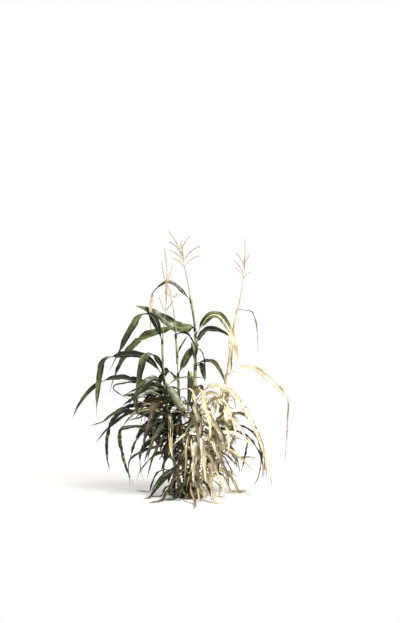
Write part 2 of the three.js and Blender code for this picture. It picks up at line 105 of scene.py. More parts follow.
# Leaves: stem, collar height, heading, length, width, lifts at the collar, past the arch and at the
# tip, place and sharpness of the arch, roll, twist, finish, and where the blade is kinked once more,
# the place and turn of the kink
LEAVES = {
    "main_1": ("main", 526, -14, 790, 46, (58, -50, -92), (0.18, 0.1), -40, -10, "bleached"),
    "main_front": ("main", 556, -74, 470, 40, (34, -46, -90), (0.26, 0.12), -30, 20, "straw"),
    "main_back": ("main", 610, 97, 500, 44, (44, -44, -86), (0.26, 0.12), 30, -20, "fading"),
    "main_2": ("main", 742, -6, 250, 34, (14, -62, -78), (0.3, 0.12), -50, 0, "fading"),
    "main_3": ("main", 858, 20, 246, 42, (54, -4, -50), (0.3, 0.1), -70, 40, "green"),
    "main_4": ("main", 904, -12, 495, 46, (58, -55, -96), (0.28, 0.09), -50, 20, "turning"),
    "main_5": ("main", 936, 172, 360, 70, (2, 42, 14), (0.28, 0.07), -60, 20, "green"),
    "main_6": ("main", 1095, 178, 500, 26, (46, -52, -66), (0.3, 0.08), 30, 60, "turning", (0.52, -30)),
    "inner_back": ("inner", 650, 122, 430, 38, (30, -48, -88), (0.28, 0.12), 30, 20, "deep"),
    "inner_1": ("inner", 690, -3, 350, 44, (62, -78, -92), (0.45, 0.1), -44, 50, "green"),
    "inner_2": ("inner", 906, -16, 190, 28, (8, -60, -86), (0.24, 0.1), -50, 30, "green"),
    "inner_3": ("inner", 938, 172, 560, 50, (-12, -48, -84), (0.31, 0.18), -60, 10, "green"),
    "left_1": ("left", 165, 188, 240, 24, (-44, -52, -54), (0.35, 0.2), -50, 0, "deep"),
    "left_2": ("left", 300, 178, 380, 24, (-8, -38, -52), (0.3, 0.2), -50, 30, "deep", (0.6, -50)),
    "left_3": ("left", 336, 174, 385, 30, (38, -52, -95), (0.3, 0.08), -60, 30, "crinkled"),
    "left_4": ("left", 368, 196, 590, 28, (20, -9, -42), (0.25, 0.15), 40, 120, "crinkled", (0.43, -82)),
    "left_5": ("left", 508, 184, 430, 28, (8, -18, -58), (0.4, 0.2), -50, 0, "deep", (0.84, 36)),
    "left_front": ("left", 486, -112, 430, 36, (30, -46, -86), (0.28, 0.14), -20, 30, "dark"),
    "left_back": ("left", 530, 112, 460, 38, (36, -42, -84), (0.28, 0.14), 20, -30, "deep"),
    "left_6": ("left", 600, 178, 610, 38, (20, -35, -72), (0.48, 0.2), -50, -20, "green"),
    "left_7": ("left", 618, 0, 240, 14, (40, -4, -8), (0.28, 0.2), -50, 0, "fading"),
    "left_broad": ("left", 656, 208, 260, 46, (14, -44, -62), (0.22, 0.12), -50, 20, "deep"),
    "left_8": ("left", 682, 180, 680, 46, (53, -10, -26), (0.2, 0.1), -55, -40, "green", (0.52, -66)),
    "left_9": ("left", 706, 194, 385, 46, (69, -85, -76), (0.28, 0.12), -50, -20, "green"),
    "left_10": ("left", 872, 184, 570, 50, (72, -61, -66), (0.275, 0.08), -44, -20, "green"),
    "right_1": ("right", 330, -18, 385, 30, (12, -50, -60), (0.32, 0.08), -50, 50, "dark", (0.47, -50)),
    "right_2": ("right", 420, -14, 560, 30, (30, -60, -110), (0.22, 0.1), -50, 30, "straw"),
    "right_front": ("right", 470, -82, 440, 34, (30, -46, -88), (0.28, 0.14), -20, 30, "straw"),
    "right_back": ("right", 524, 84, 470, 36, (38, -44, -86), (0.28, 0.14), 20, 30, "straw"),
    "right_3": ("right", 580, -24, 610, 28, (0, -62, -82), (0.08, 0.06), -50, 20, "straw"),
    "right_4": ("right", 680, 0, 755, 34, (24, -44, -44), (0.16, 0.05), -40, 70, "bleached", (0.52, -50)),
    "right_high_back": ("right", 810, 88, 330, 30, (42, -58, -92), (0.26, 0.1), 20, 30, "bleached"),
    "right_5": ("right", 1040, 0, 315, 18, (-10, -78, -104), (0.22, 0.05), -30, 50, "bleached"),
    "back_1": ("back", 330, 188, 330, 28, (-20, -78, -118), (0.4, 0.12), -50, 50, "deep"),
    "back_2": ("back", 405, 188, 600, 32, (22, -70, -108), (0.41, 0.14), -60, 40, "crinkled"),
    "back_3": ("back", 440, 180, 450, 28, (18, -30, -60), (0.3, 0.15), -50, 0, "deep"),
    "front_1": ("front", 290, 2, 330, 22, (8, -34, -55), (0.3, 0.2), -70, 0, "straw"),
    "front_2": ("front", 360, 8, 520, 24, (12, -30, -112), (0.35, 0.15), -40, 90, "brown"),
    "front_3": ("front", 500, -40, 420, 30, (40, -60, -95), (0.3, 0.12), -30, 40, "straw"),
}

# Groups of lower leaves on one sheath: stem, lowest and highest collar, count, middle and spread of
# the headings, shortest and longest blade, and the seed of the group's random numbers
SKIRTS = {
    "left": ("left", 34, 98, 4, 190, 150, 150, 260, 11),
    "inner_low": ("inner", 36, 290, 6, 250, 340, 170, 330, 23),
    "inner_high": ("inner", 305, 620, 9, 185, 250, 190, 380, 37),
    "main_low": ("main", 50, 260, 6, 60, 340, 180, 360, 41),
    "main_high": ("main", 275, 480, 7, 40, 340, 220, 420, 59),
    "front": ("front", 36, 270, 8, -60, 240, 160, 340, 67),
    "right": ("right", 36, 318, 9, 10, 240, 180, 400, 73),
    "back": ("back", 36, 318, 9, 150, 230, 180, 420, 89),
}
SKIRT = {
    "onward": 0.38, "scatter": 16, "sharp": 0.1,
    "rise": (-5, 40), "past": (-35, -70), "fall": (-80, -110),
    "width": (18, 32), "place": (0.22, 0.38), "roll": (-40, 40), "twist": (-80, 80),
}

# Tassels: a spike in line with the tip of its stem, and side branches
# (place along the spike, heading, lift at the root, lift at the tip, length)
TASSELS = {
    "main": {
        "stem": "main", "heading": 180, "lift": (78, 54), "length": 230,
        "branches": [
            (0.06, 178, 52, 12, 88), (0.1, 2, 48, 16, 96), (0.15, 96, 56, 30, 84), (0.19, 190, 56, 20, 98),
            (0.24, -14, 50, 24, 118), (0.3, -92, 60, 32, 80), (0.36, 168, 62, 30, 100),
            (0.42, 14, 74, 44, 104), (0.5, 70, 70, 40, 64),
        ],
    },
    "left": {
        "stem": "left", "heading": 5, "lift": (84, 97), "length": 355,
        "branches": [
            (0.06, 178, 62, 74, 84), (0.07, 0, 50, 62, 66), (0.2, 100, 64, 70, 110), (0.3, -90, 66, 72, 104),
            (0.44, 186, 72, 86, 130), (0.5, 20, 70, 78, 90),
        ],
    },
    "inner": {
        "stem": "inner", "heading": 175, "lift": (82, 70), "length": 66,
        "branches": [
            (0.05, 0, 44, 20, 44), (0.1, 12, 20, 4, 48), (0.18, 172, 46, 22, 40), (0.3, 90, 50, 30, 36),
        ],
    },
    "right": {
        "stem": "right", "heading": 20, "lift": (84, 92), "length": 222,
        "branches": [
            (0.06, 10, 50, 34, 52), (0.1, 185, 52, 40, 58), (0.18, 172, 58, 46, 92), (0.24, 90, 58, 44, 70),
            (0.3, -90, 60, 46, 64), (0.36, 182, 62, 52, 84), (0.44, 0, 62, 50, 50),
        ],
    },
}
# Twigs: radius at the root and the tip of a spike and of a branch, the step along them, how deep a
# spike is sunk into its stem, and the place and sharpness of the bend
TWIG = {"spike": (1.9, 0.7), "branch": (1.2, 0.45), "step": 22, "sunk": 3, "bend": (0.5, 0.3)}

# Ears: stem, height of the shank, heading, lift, length with the shank, and radius of the husk
EARS = {
    "middle": ("left", 640, -26, -54, 196, 22),
    "right_upper": ("right", 398, -50, 24, 120, 25),
    "right_lower": ("right", 285, -58, 50, 128, 21),
}

# Finishes of a leaf: the skins of its upper side, midrib, dry margin and tip, and underside, how far
# its edges curl up in radians, the ruffles as a share of the rule's, the crumpling in millimetres, the
# wobble in degrees, the sway in millimetres, the notches in each margin, where its dry tip begins, and
# how far in its dry edge goes. The underside skins are copies of the upper ones toned by light: darker
# as painted shade on green, deep, fading, brown and dark blades, and light as painted light on straw,
# bleached and pale ones. On straw, bleached and pale blades the brown margin is dry leaf and also
# painted shade in the curled edge.
LOOKS = ("skins", "curl", "ruffle", "crumple", "wobble", "sway", "notches", "tip", "edge")
FINISHES = {name: dict(zip(LOOKS, looks)) for name, looks in {
    "green": (
        ("green_blade", "green_midrib", "fading_blade", "green_under_painted_shade"), 0.75, 0.6, 0.8, 6, 4, 1, 0.95, 0,
    ),
    "deep": (
        ("deep_blade_painted_shade", "green_midrib", "brown_blade", "deep_under_painted_shade"), 0.7, 0.8, 1.4, 12, 7, 3, 0.9, 0.08,
    ),
    "crinkled": (
        ("deep_blade_painted_shade", "brown_blade", "fading_blade", "deep_under_painted_shade"), 1.1, 1.8, 3.2, 28, 9, 8, 0.96, 0.3,
    ),
    "fading": (
        ("fading_blade", "straw_midrib", "straw_blade", "fading_under_painted_shade"), 0.6, 0.6, 1, 7, 5, 2, 0.86, 0.1,
    ),
    "turning": (
        ("green_blade", "straw_midrib", "straw_blade", "green_under_painted_shade"), 0.7, 0.6, 1.2, 8, 5, 2, 0.55, 0.1,
    ),
    "straw": (
        ("straw_blade", "straw_midrib", "brown_blade", "straw_under_painted_light"), 0.9, 1.2, 2.2, 16, 9, 5, 0.93, 0.08,
    ),
    "bleached": (
        ("bleached_blade", "straw_midrib", "brown_blade", "bleached_under_painted_light"),
        0.8, 1, 1.8, 12, 7, 3, 0.96, 0.1,
    ),
    "pale": (
        ("pale_blade_painted_light", "straw_midrib", "brown_blade", "bleached_under_painted_light"), 0.8, 0.8, 1.4, 8, 6, 3, 0.97, 0.1,
    ),
    "dark": (
        ("dark_blade", "brown_blade", "brown_under_painted_shade", "dark_under_painted_shade"), 1.2, 1.4, 2.6, 22, 10, 5, 0.97, 0.05,
    ),
    "brown": (
        ("brown_blade", "straw_midrib", "deep_blade_painted_shade", "brown_under_painted_shade"), 1.3, 1.4, 3, 24, 11, 6, 0.95, 0.05,
    ),
}.items()}
# Blades that turn over: where they turn back again, by how many degrees they turn, and where the rest
# is folded shut. A blade that turns back past its tip stays turned, and an open one is never shut.
OPEN = 2
PAST_TIP = 1.3
NEVER_OVER = (1, 0, OPEN)
TURNED_OVER = {
    "main_1": (PAST_TIP, 64, OPEN), "main_4": (PAST_TIP, 100, OPEN), "main_6": (0.5, 90, OPEN),
    "right_3": (PAST_TIP, 60, OPEN), "right_4": (0.5, 70, OPEN), "left_4": (0.3, 60, OPEN),
    "left_6": (0.55, 110, OPEN), "left_8": (0.47, 125, 0.88), "left_9": (0.26, 100, 0.9),
    "left_10": (0.3, 120, 0.72), "inner_1": (0.5, 100, OPEN), "inner_3": (0.6, 0, 0.76),
    "back_2": (PAST_TIP, 100, OPEN),
}
# The share of its length within which a blade has turned on its side, and those that differ
TURN_IN = 0.25
TURNED_IN = {"main_5": 0.07, "inner_3": 0.1, "main_3": 0.1, "main_4": 0.45}
# Old leaves that hang among the others, in the same order of sizes
OLD_LEAVES = {
    "loop": ("left", 622, 183, 410, 18, (14, -6, -38), (0.3, 0.2), -60, 40, "deep", (0.62, -124)),
    "folded": ("left", 602, 196, 250, 46, (16, -38, -60), (0.4, 0.06), -75, -30, "deep", (0.7, 50)),
    "flag": ("left", 560, 205, 280, 44, (30, -30, -50), (0.3, 0.08), -80, 30, "deep", (0.62, -60)),
    "arch_band": ("left", 474, 202, 235, 30, (16, -8, -46), (0.4, 0.2), 64, 0, "fading"),
    "sheath_stem": ("left", 462, -66, 270, 32, (10, -88, -80), (0.08, 0.04), -12, 10, "turning"),
    "shelf": ("inner", 585, 176, 330, 40, (4, -16, -46), (0.4, 0.2), -64, 20, "deep"),
    "shelf_low": ("inner", 520, 190, 360, 36, (10, -34, -60), (0.4, 0.1), -70, 40, "brown"),
    "core_left": ("left", 436, 166, 220, 36, (-6, -44, -72), (0.3, 0.15), -60, 30, "deep"),
    "core_low": ("left", 392, 158, 190, 38, (10, -50, -80), (0.3, 0.15), -60, 30, "deep"),
    "core_inner": ("inner", 440, 168, 260, 40, (-14, -46, -70), (0.3, 0.15), -60, 30, "deep"),
    "core_back": ("back", 400, 196, 200, 42, (12, -40, -80), (0.3, 0.15), -60, 30, "deep"),
    "strut": ("left", 268, 183, 255, 18, (-14, -42, -78), (0.3, 0.2), -50, 40, "deep"),
    "strut_low": ("left", 176, 198, 190, 22, (-30, -56, -58), (0.3, 0.2), -60, 40, "deep"),
    "strut_foot": ("inner", 168, 216, 170, 20, (-34, -62, -60), (0.3, 0.2), -60, 40, "deep"),
    "leaner": ("inner", 470, 206, 340, 30, (-30, -62, -76), (0.4, 0.2), -60, -50, "deep"),
    "thread": ("main", 500, 212, 200, 11, (-24, -84, -82), (0.3, 0.06), -60, 40, "bleached"),
    "ground_strip": ("left", 132, -26, 220, 20, (14, -44, -26), (0.2, 0.1), 50, 20, "bleached"),
    "arc_under": ("main", 512, -24, 370, 20, (46, -48, -98), (0.3, 0.1), 60, 30, "straw"),
    "arch_left": ("front", 358, 204, 160, 22, (14, -34, -56), (0.3, 0.15), -50, 20, "pale"),
    "arch_right": ("front", 352, -16, 345, 22, (14, -4, -84), (0.5, 0.2), 50, 20, "pale"),
    "pale_fold": ("right", 520, -120, 300, 32, (36, -70, -84), (0.2, 0.06), -60, 80, "bleached"),
    "pale_back": ("right", 452, 200, 330, 30, (30, -50, -88), (0.26, 0.08), -50, 60, "straw"),
    "pale_wing": ("right", 372, 222, 260, 32, (24, -20, -70), (0.4, 0.1), -60, 30, "bleached"),
    "curl_tip": ("right", 445, -6, 585, 26, (22, -62, -128), (0.18, 0.1), -50, 70, "dark"),
    "dark_tip": ("right", 372, -12, 430, 20, (14, -40, -96), (0.3, 0.1), -50, 90, "dark", (0.6, -20)),
    "diagonal": ("right", 282, -12, 200, 15, (-34, -44, -44), (0.4, 0.2), -50, 30, "dark"),
    "drip": ("right", 262, -40, 220, 15, (30, -86, -104), (0.14, 0.06), -50, 60, "dark"),
    "drip_dark": ("right", 215, -30, 250, 17, (16, -66, -84), (0.3, 0.08), -50, 70, "dark"),
    "drip_far": ("right", 262, -14, 270, 17, (20, -60, -98), (0.3, 0.1), -50, 70, "dark"),
    "loop_low": ("right", 232, -40, 290, 9, (-20, -80, -50), (0.25, 0.1), -50, 40, "bleached"),
    "sheath_front": ("front", 336, -70, 290, 40, (20, -88, -88), (0.08, 0.04), -12, 10, "pale"),
    "sheath_left": ("front", 318, -120, 270, 34, (10, -88, -90), (0.08, 0.04), -12, 10, "pale"),
    "sheath_main": ("main", 350, -70, 290, 38, (10, -86, -86), (0.08, 0.04), 12, -10, "pale"),
    "sheath_right": ("right", 336, -104, 280, 36, (10, -86, -90), (0.08, 0.04), 12, 10, "pale"),
    "sheath_low": ("right", 270, -84, 230, 34, (10, -86, -90), (0.08, 0.04), 12, 10, "straw"),
    "sheath_foot": ("main", 230, -60, 200, 34, (0, -80, -80), (0.1, 0.05), 12, -10, "straw"),
    "bow_front": ("front", 420, -8, 360, 24, (34, -30, -98), (0.3, 0.12), 50, 40, "pale"),
    "bow_low": ("front", 330, -52, 300, 28, (24, -50, -92), (0.26, 0.1), 40, 60, "straw"),
    "apron": ("main", 842, -96, 150, 44, (24, -84, -88), (0.14, 0.05), -20, 10, "green"),
    "sliver": ("inner", 796, 10, 118, 14, (66, 58, 50), (0.3, 0.2), -60, 0, "dark"),
    "flap": ("main", 730, -24, 140, 34, (16, -84, -92), (0.14, 0.05), 50, 20, "green"),
    "drop": ("main", 614, -30, 140, 22, (10, -80, -92), (0.15, 0.05), 50, 20, "dark"),
}
# Stems that have dried to straw, and the height below which the main stem's sheaths have too
DRY_STEMS = ("right", "front")
DEAD_BELOW = 560


def smooth(t):
    t = np.clip(t, 0.0, 1.0)
    return t * t * (3.0 - 2.0 * t)


def mix(a, b, share):
    return a + (b - a) * share


def sequence(seed):
    """The numbers between 0 and 1 of the growth rule's fixed sequence."""
    state = seed
    while True:
        state = (state * 1664525 + 1013904223) % 2**32
        yield state / 2**32


def compass(heading):
    """The level directions out from a stem at a heading, and to the left of it."""
    h = math.radians(heading)
    return np.array([math.cos(h), math.sin(h), 0.0]), np.array([-math.sin(h), math.cos(h), 0.0])


def between(u, h, a, b, slope_a, slope_b):
    """A smooth curve from a to b, at a share u of the way h, with its slopes at both."""
    start = (2 * u**3 - 3 * u**2 + 1) * a + (u**3 - 2 * u**2 + u) * h * slope_a
    end = (3 * u**2 - 2 * u**3) * b + (u**3 - u**2) * h * slope_b
    return start + end


def top_of(stem):
    return STEMS[stem]["path"][-1][2]


def axis(stem, z):
    """The middle of a stem at a height: a smooth curve through its path."""
    path = np.array(STEMS[stem]["path"], float)
    i = 0
    while i < len(path) - 2 and z >= path[i + 1][2]:
        i += 1
    a, b = path[i], path[i + 1]
    before = path[i - 1] if i else a
    after = path[i + 2] if i + 2 < len(path) else b
    h = b[2] - a[2]
    u = (z - a[2]) / h
    slope_a = (b - before) / (b[2] - before[2])
    slope_b = (after - a) / (after[2] - a[2])
    point = between(u, h, a, b, slope_a, slope_b)
    point[2] = z
    return point


def radius_at(stem, z):
    foot, tip = STEMS[stem]["radius"]
    return foot + (tip - foot) * (max(z, 0) / top_of(stem)) ** TAPER


def turned(t, bend):
    """How far the turn over the arch has gone at a share t of the length, from 0 to 1."""
    place, sharp = bend
    start = math.tanh(-place / sharp)
    return (math.tanh((t - place) / sharp) - start) / (math.tanh((1 - place) / sharp) - start)


def course(leaf, step=STEP, crease=KINK):
    """The rule's stations along a blade or twig."""
    count = max(3, int(leaf["length"] / step + 0.5))
    size = leaf["length"] / count
    rise, past, fall = leaf["lift"]
    fold, fold_turn = leaf.get("kink", NO_KINK)
    out, _ = compass(leaf["heading"])
    at = np.array(leaf["start"], float)
    stations = []
    for i in range(count + 1):
        stations.append(at.copy())
        t = i / count
        tilt = rise + (past - rise) * turned(t, leaf["bend"]) + (fall - past) * t * t
        tilt = math.radians(tilt + fold_turn * turned(t, (fold, crease)))
        least = min(max((leaf.get("lowest", -math.inf) - at[2]) / size, -1), 1)
        if math.sin(tilt) < least:
            tilt = math.asin(least)
        at += size * (out * math.cos(tilt) + np.array([0, 0, math.sin(tilt)]))
    return np.array(stations)


def blade_width(t, width):
    """The rule's width of a blade: narrowed at the collar, then drawn out to a point."""
    t = np.clip(t, 0, 1)
    return width * np.minimum(1, 0.6 + 1.6 * t) * (1 - t**2.6) ** 0.8


def skirt_leaves(sizes):
    """The leaves of a group, from its own random numbers."""
    stem, low, high, count, middle, spread, shortest, longest, seed = sizes
    numbers = sequence(seed)

    def drawn(limits):
        return limits[0] + (limits[1] - limits[0]) * next(numbers)

    leaves = []
    for i in range(count):
        share = (i + 0.5) / count
        turn = spread * ((share + SKIRT["onward"] * i) % 1 - 0.5)
        heading = middle + turn + drawn((-SKIRT["scatter"] / 2, SKIRT["scatter"] / 2))
        length = drawn((shortest, longest))
        lift = [drawn(SKIRT[name]) for name in ("rise", "past", "fall")]
        width, place, roll, twist = [drawn(SKIRT[name]) for name in ("width", "place", "roll", "twist")]
        leaves.append({
            "stem": stem, "collar": low + (high - low) * share, "heading": heading, "length": length,
            "width": width, "lift": lift, "bend": (place, SKIRT["sharp"]), "roll": roll, "twist": twist,
        })
    return leaves


def single_leaf(sizes):
    stem, collar, heading, length, width, lift, bend, roll, twist, finish, *kink = sizes
    return {
        "stem": stem, "collar": collar, "heading": heading, "length": length, "width": width,
        "lift": lift, "bend": bend, "roll": roll, "twist": twist, "finish": finish,
        "kink": kink[0] if kink else NO_KINK,
    }


def rooted(leaf, turn=0):
    """A leaf with its root set on the surface of its sheath, and the stations of its course."""
    heading = leaf["heading"] + turn
    out, _ = compass(heading)
    root = leaf["collar"] - SUNK
    away = radius_at(leaf["stem"], root) + GAP + WALL / 2
    placed = {
        **leaf, "heading": heading, "start": axis(leaf["stem"], root) + away * out,
        "lowest": FLOOR + FLOOR_SHARE * leaf["width"],
    }
    placed["stations"] = course(placed)
    return placed


def settled(leaf, solid):
    """The leaf turned round its stem as its solid is, or None where the solid has no such blade."""
    for i in range(TURNS):
        placed = rooted(leaf, TURN * math.ceil(i / 2) * (1 if i % 2 else -1))
        if np.linalg.norm(solid - placed["stations"][-1], axis=1).min() < TIP_MATCH:
            return placed
    return None


def corners_of(mesh):
    """The corners of a mesh, in millimetres."""
    points = np.zeros(len(mesh.vertices) * 3, np.float32)
    mesh.vertices.foreach_get("co", points)
    return points.reshape(-1, 3) / MM


def through(knots, spacing):
    """Points at a fine spacing on a smooth curve through knots."""
    knots = np.asarray(knots, float)
    s = np.concatenate([[0], np.cumsum(np.linalg.norm(np.diff(knots, axis=0), axis=1))])
    slopes = np.empty_like(knots)
    slopes[1:-1] = (knots[2:] - knots[:-2]) / (s[2:] - s[:-2])[:, None]
    slopes[0] = (knots[1] - knots[0]) / (s[1] - s[0])
    slopes[-1] = (knots[-1] - knots[-2]) / (s[-1] - s[-2])
    fine = np.linspace(0, s[-1], max(4, int(s[-1] / spacing) + 1))
    i = np.clip(np.searchsorted(s, fine, side="right") - 1, 0, len(s) - 2)
    h = (s[i + 1] - s[i])[:, None]
    u = ((fine - s[i]) / h[:, 0])[:, None]
    return between(u, h, knots[i], knots[i + 1], slopes[i], slopes[i + 1])


def unit(vectors):
    return vectors / np.maximum(np.linalg.norm(vectors, axis=-1, keepdims=True), 1e-9)


def waves(at, rng, lengths):
    """A gentle random curve between about -1 and 1 along a distance, from a few wave lengths."""
    total = np.zeros_like(at, float)
    for length in lengths:
        total += np.sin(2 * math.pi * at / length * rng.uniform(0.85, 1.15) + rng.uniform(0, 2 * math.pi))
    return total / len(lengths)


def part(points, faces, skins, uv):
    """A piece of mesh: points in millimetres, faces, a skin number for each face, and a UV place in
    millimetres for each point."""
    return {"points": points, "faces": faces, "skins": skins, "uv": uv}


def shell(upper, under, skins, uv, below=None):
    """A thin closed sheet between two grids of points, with rows ahead and columns to the left. Its
    underside takes the skins of its upper side unless it has its own."""
    below = skins if below is None else below
    rows, cols = upper.shape[:2]
    index = np.arange(rows * cols).reshape(rows, cols)
    a, b = index[:-1, :-1].ravel(), index[:-1, 1:].ravel()
    c, d = index[1:, 1:].ravel(), index[1:, :-1].ravel()
    low = rows * cols
    first, last = index[:, 0], index[:, -1]
    near, far = index[0], index[-1]
    quads = [
        np.stack([a, d, c, b], 1),
        np.stack([a, b, c, d], 1) + low,
        np.stack([first[:-1], first[:-1] + low, first[1:] + low, first[1:]], 1),
        np.stack([last[:-1], last[1:], last[1:] + low, last[:-1] + low], 1),
        np.stack([near[:-1], near[1:], near[1:] + low, near[:-1] + low], 1),
        np.stack([far[:-1], far[:-1] + low, far[1:] + low, far[1:]], 1),
    ]
    kinds = [skins.ravel(), below.ravel(), skins[:, 0], skins[:, -1], skins[0], skins[-1]]
    points = np.concatenate([upper.reshape(-1, 3), under.reshape(-1, 3)])
    places = np.concatenate([uv.reshape(-1, 2)] * 2)
    return part(points, np.concatenate(quads).tolist(), np.concatenate(kinds), places)


def ringed(rows, sides):
    """The faces of a closed form of rings of points, one above the other."""
    index = np.arange(rows * sides).reshape(rows, sides)
    onward = np.roll(index, -1, axis=1)
    quads = np.stack([index[:-1], onward[:-1], onward[1:], index[1:]], -1).reshape(-1, 4)
    return quads.tolist() + [index[0][::-1].tolist(), index[-1].tolist()]


def tube(points, radii, sides, skin=0, side=None):
    """A closed round form along points. radii has one radius for each point, or one for each side."""
    ahead = unit(np.gradient(points, axis=0))
    if side is None:
        side = np.array([0.0, 0.0, 1.0]) if abs(ahead[0][2]) < 0.9 else np.array([1.0, 0.0, 0.0])
    u = unit(np.cross(side, ahead))
    v = np.cross(ahead, u)
    angle = 2 * math.pi * np.arange(sides) / sides
    radii = np.broadcast_to(np.asarray(radii, float).reshape(len(points), -1), (len(points), sides))
    rings = points[:, None] + radii[..., None] * (
        np.cos(angle)[None, :, None] * u[:, None] + np.sin(angle)[None, :, None] * v[:, None]
    )
    faces = ringed(len(points), sides)
    along = np.concatenate([[0], np.cumsum(np.linalg.norm(np.diff(points, axis=0), axis=1))])
    uv = np.stack(np.broadcast_arrays(angle[None] * radii.mean(), along[:, None]), -1)
    return part(rings.reshape(-1, 3), faces, np.full(len(faces), skin), uv.reshape(-1, 2))


def new_object(name, data):
    made = bpy.data.objects.new(name, data)
    bpy.context.scene.collection.objects.link(made)
    return made


def dressed(name, parts, skins, node):
    """One finished piece from its parts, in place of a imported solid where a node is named."""
    points, faces, kinds, uv, base = [], [], [], [], 0
    for p in parts:
        points.append(p["points"])
        faces += [[i + base for i in face] for face in p["faces"]]
        kinds.append(p["skins"])
        uv.append(p["uv"])
        base += len(p["points"])
    points, kinds, uv = np.concatenate(points) * MM, np.concatenate(kinds), np.concatenate(uv) * MM
    mesh = bpy.data.meshes.new(name)
    mesh.from_pydata(points, [], faces)
    for skin in skins:
        mesh.materials.append(bpy.data.materials[skin])
    mesh.polygons.foreach_set("material_index", kinds.astype(np.int32))
    corners = np.zeros(len(mesh.loops), np.int32)
    mesh.loops.foreach_get("vertex_index", corners)
    mesh.uv_layers.new(name="UVMap").data.foreach_set("uv", uv[corners].astype(np.float32).ravel())
    mesh.shade_smooth()
    mesh.set_sharp_from_angle(angle=math.radians(CREASE))
    mesh.update()
    piece = new_object(name, mesh)
    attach(piece, "root")
    if node:
        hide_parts(node)


# Columns of points across a broad, a slim and a narrow blade, from the right margin to the left
BROAD = np.array([
    -1, -0.94, -0.8, -0.62, -0.44, -0.28, -0.15, -0.07, 0, 0.07, 0.15, 0.28, 0.44, 0.62, 0.8, 0.94, 1,
])
SLIM = np.array([-1, -0.9, -0.6, -0.3, -0.1, 0, 0.1, 0.3, 0.6, 0.9, 1])
STRAP = np.array([-1, -0.5, 0, 0.5, 1])
# A blade's clasp round its sheath: how far below the root it begins, how far it stands off, its half
# angle in radians, and where it starts to open and over what distance
CLASP = {"foot": 22, "off": 0.7, "angle": 1.9, "opens": -16, "over": 34}
# Wave lengths of a blade's unevenness, in millimetres
WAVES = {
    "sway": (410, 230), "wobble": (190, 90), "curl": (150, 70), "ruffle": (88, 61),
    "crumple": (67, 43, 29), "dry_tip": (60, 17), "dry_and_shaded_edge": (140, 37),
}
# How a blade narrows at a kink and where it turns over: the share lost, the turn in degrees that takes
# all of that, and the reach in millimetres
KINK_NECK = (0.3, 50, 18)
OVER_NECK = (0.62, 90, 34)
# The share lost past the place where it is folded shut, and the shares of the length over which it
# shuts, turns over and turns back
SHUT = 0.68
SHUTS = 0.12
TURNS_OVER = 0.2
TURNS_BACK = 0.14
# Depth of the rib under a blade at the collar and the tip, and its width as a share of the half width
RIB = (2.2, 0.35)
RIB_WIDTH = 0.09
# Half the thickness of a blade at its middle and its margins, its least half width, and how far its
# middle surface stays above the lowest point
THIN = (0.34, 0.2)
NEEDLE = 0.35
RAISED = 0.6
# Ranges of a notch: its place as a share of the length, its depth as a share of the half width, and
# its reach in millimetres
NOTCH = ((0.25, 0.95), (0.15, 0.35), (3, 9))
# A fine blade's kinks are sharper than the rule's by this much
SHARPER = 0.6
# How steeply sway and wobble set in along a blade
FREES = 2.5
# The flattest half angle of a trough, the share of its curl lost by the tip, and how uneven it is
TROUGH = {"flattest": 0.05, "lost": 0.35, "uneven": 0.4}
# Heights of the slow ruffle, as a share of the rule's, and of the quick one, as a share of the width
RUFFLES = (0.8, 0.13)


def notched(distance, length, rng, count):
    """The share of the half width that is left at each distance, with a few torn notches."""
    left = np.ones_like(distance)
    for _ in range(count):
        share, depth, reach = [rng.uniform(*limits) for limits in NOTCH]
        left -= depth * np.exp(-(((distance - share * length) / reach) ** 2))
    return np.clip(left, 0.25, 1)


def laid_out(leaf, spacing):
    """The blade's course in fine steps, with its tip where the rule puts it, and its place along."""
    fine = course(leaf, spacing, SHARPER * KINK)
    share = np.linspace(0, 1, len(fine))
    return fine + (leaf["stations"][-1] - fine[-1]) * share[:, None], share


def neck(turn, away, sizes):
    """The share of its width that a blade keeps at a distance from a kink or from where it turns over."""
    lost, full, reach = sizes
    return 1 - lost * min(abs(turn) / full, 1) * np.exp(-((away / reach) ** 2))


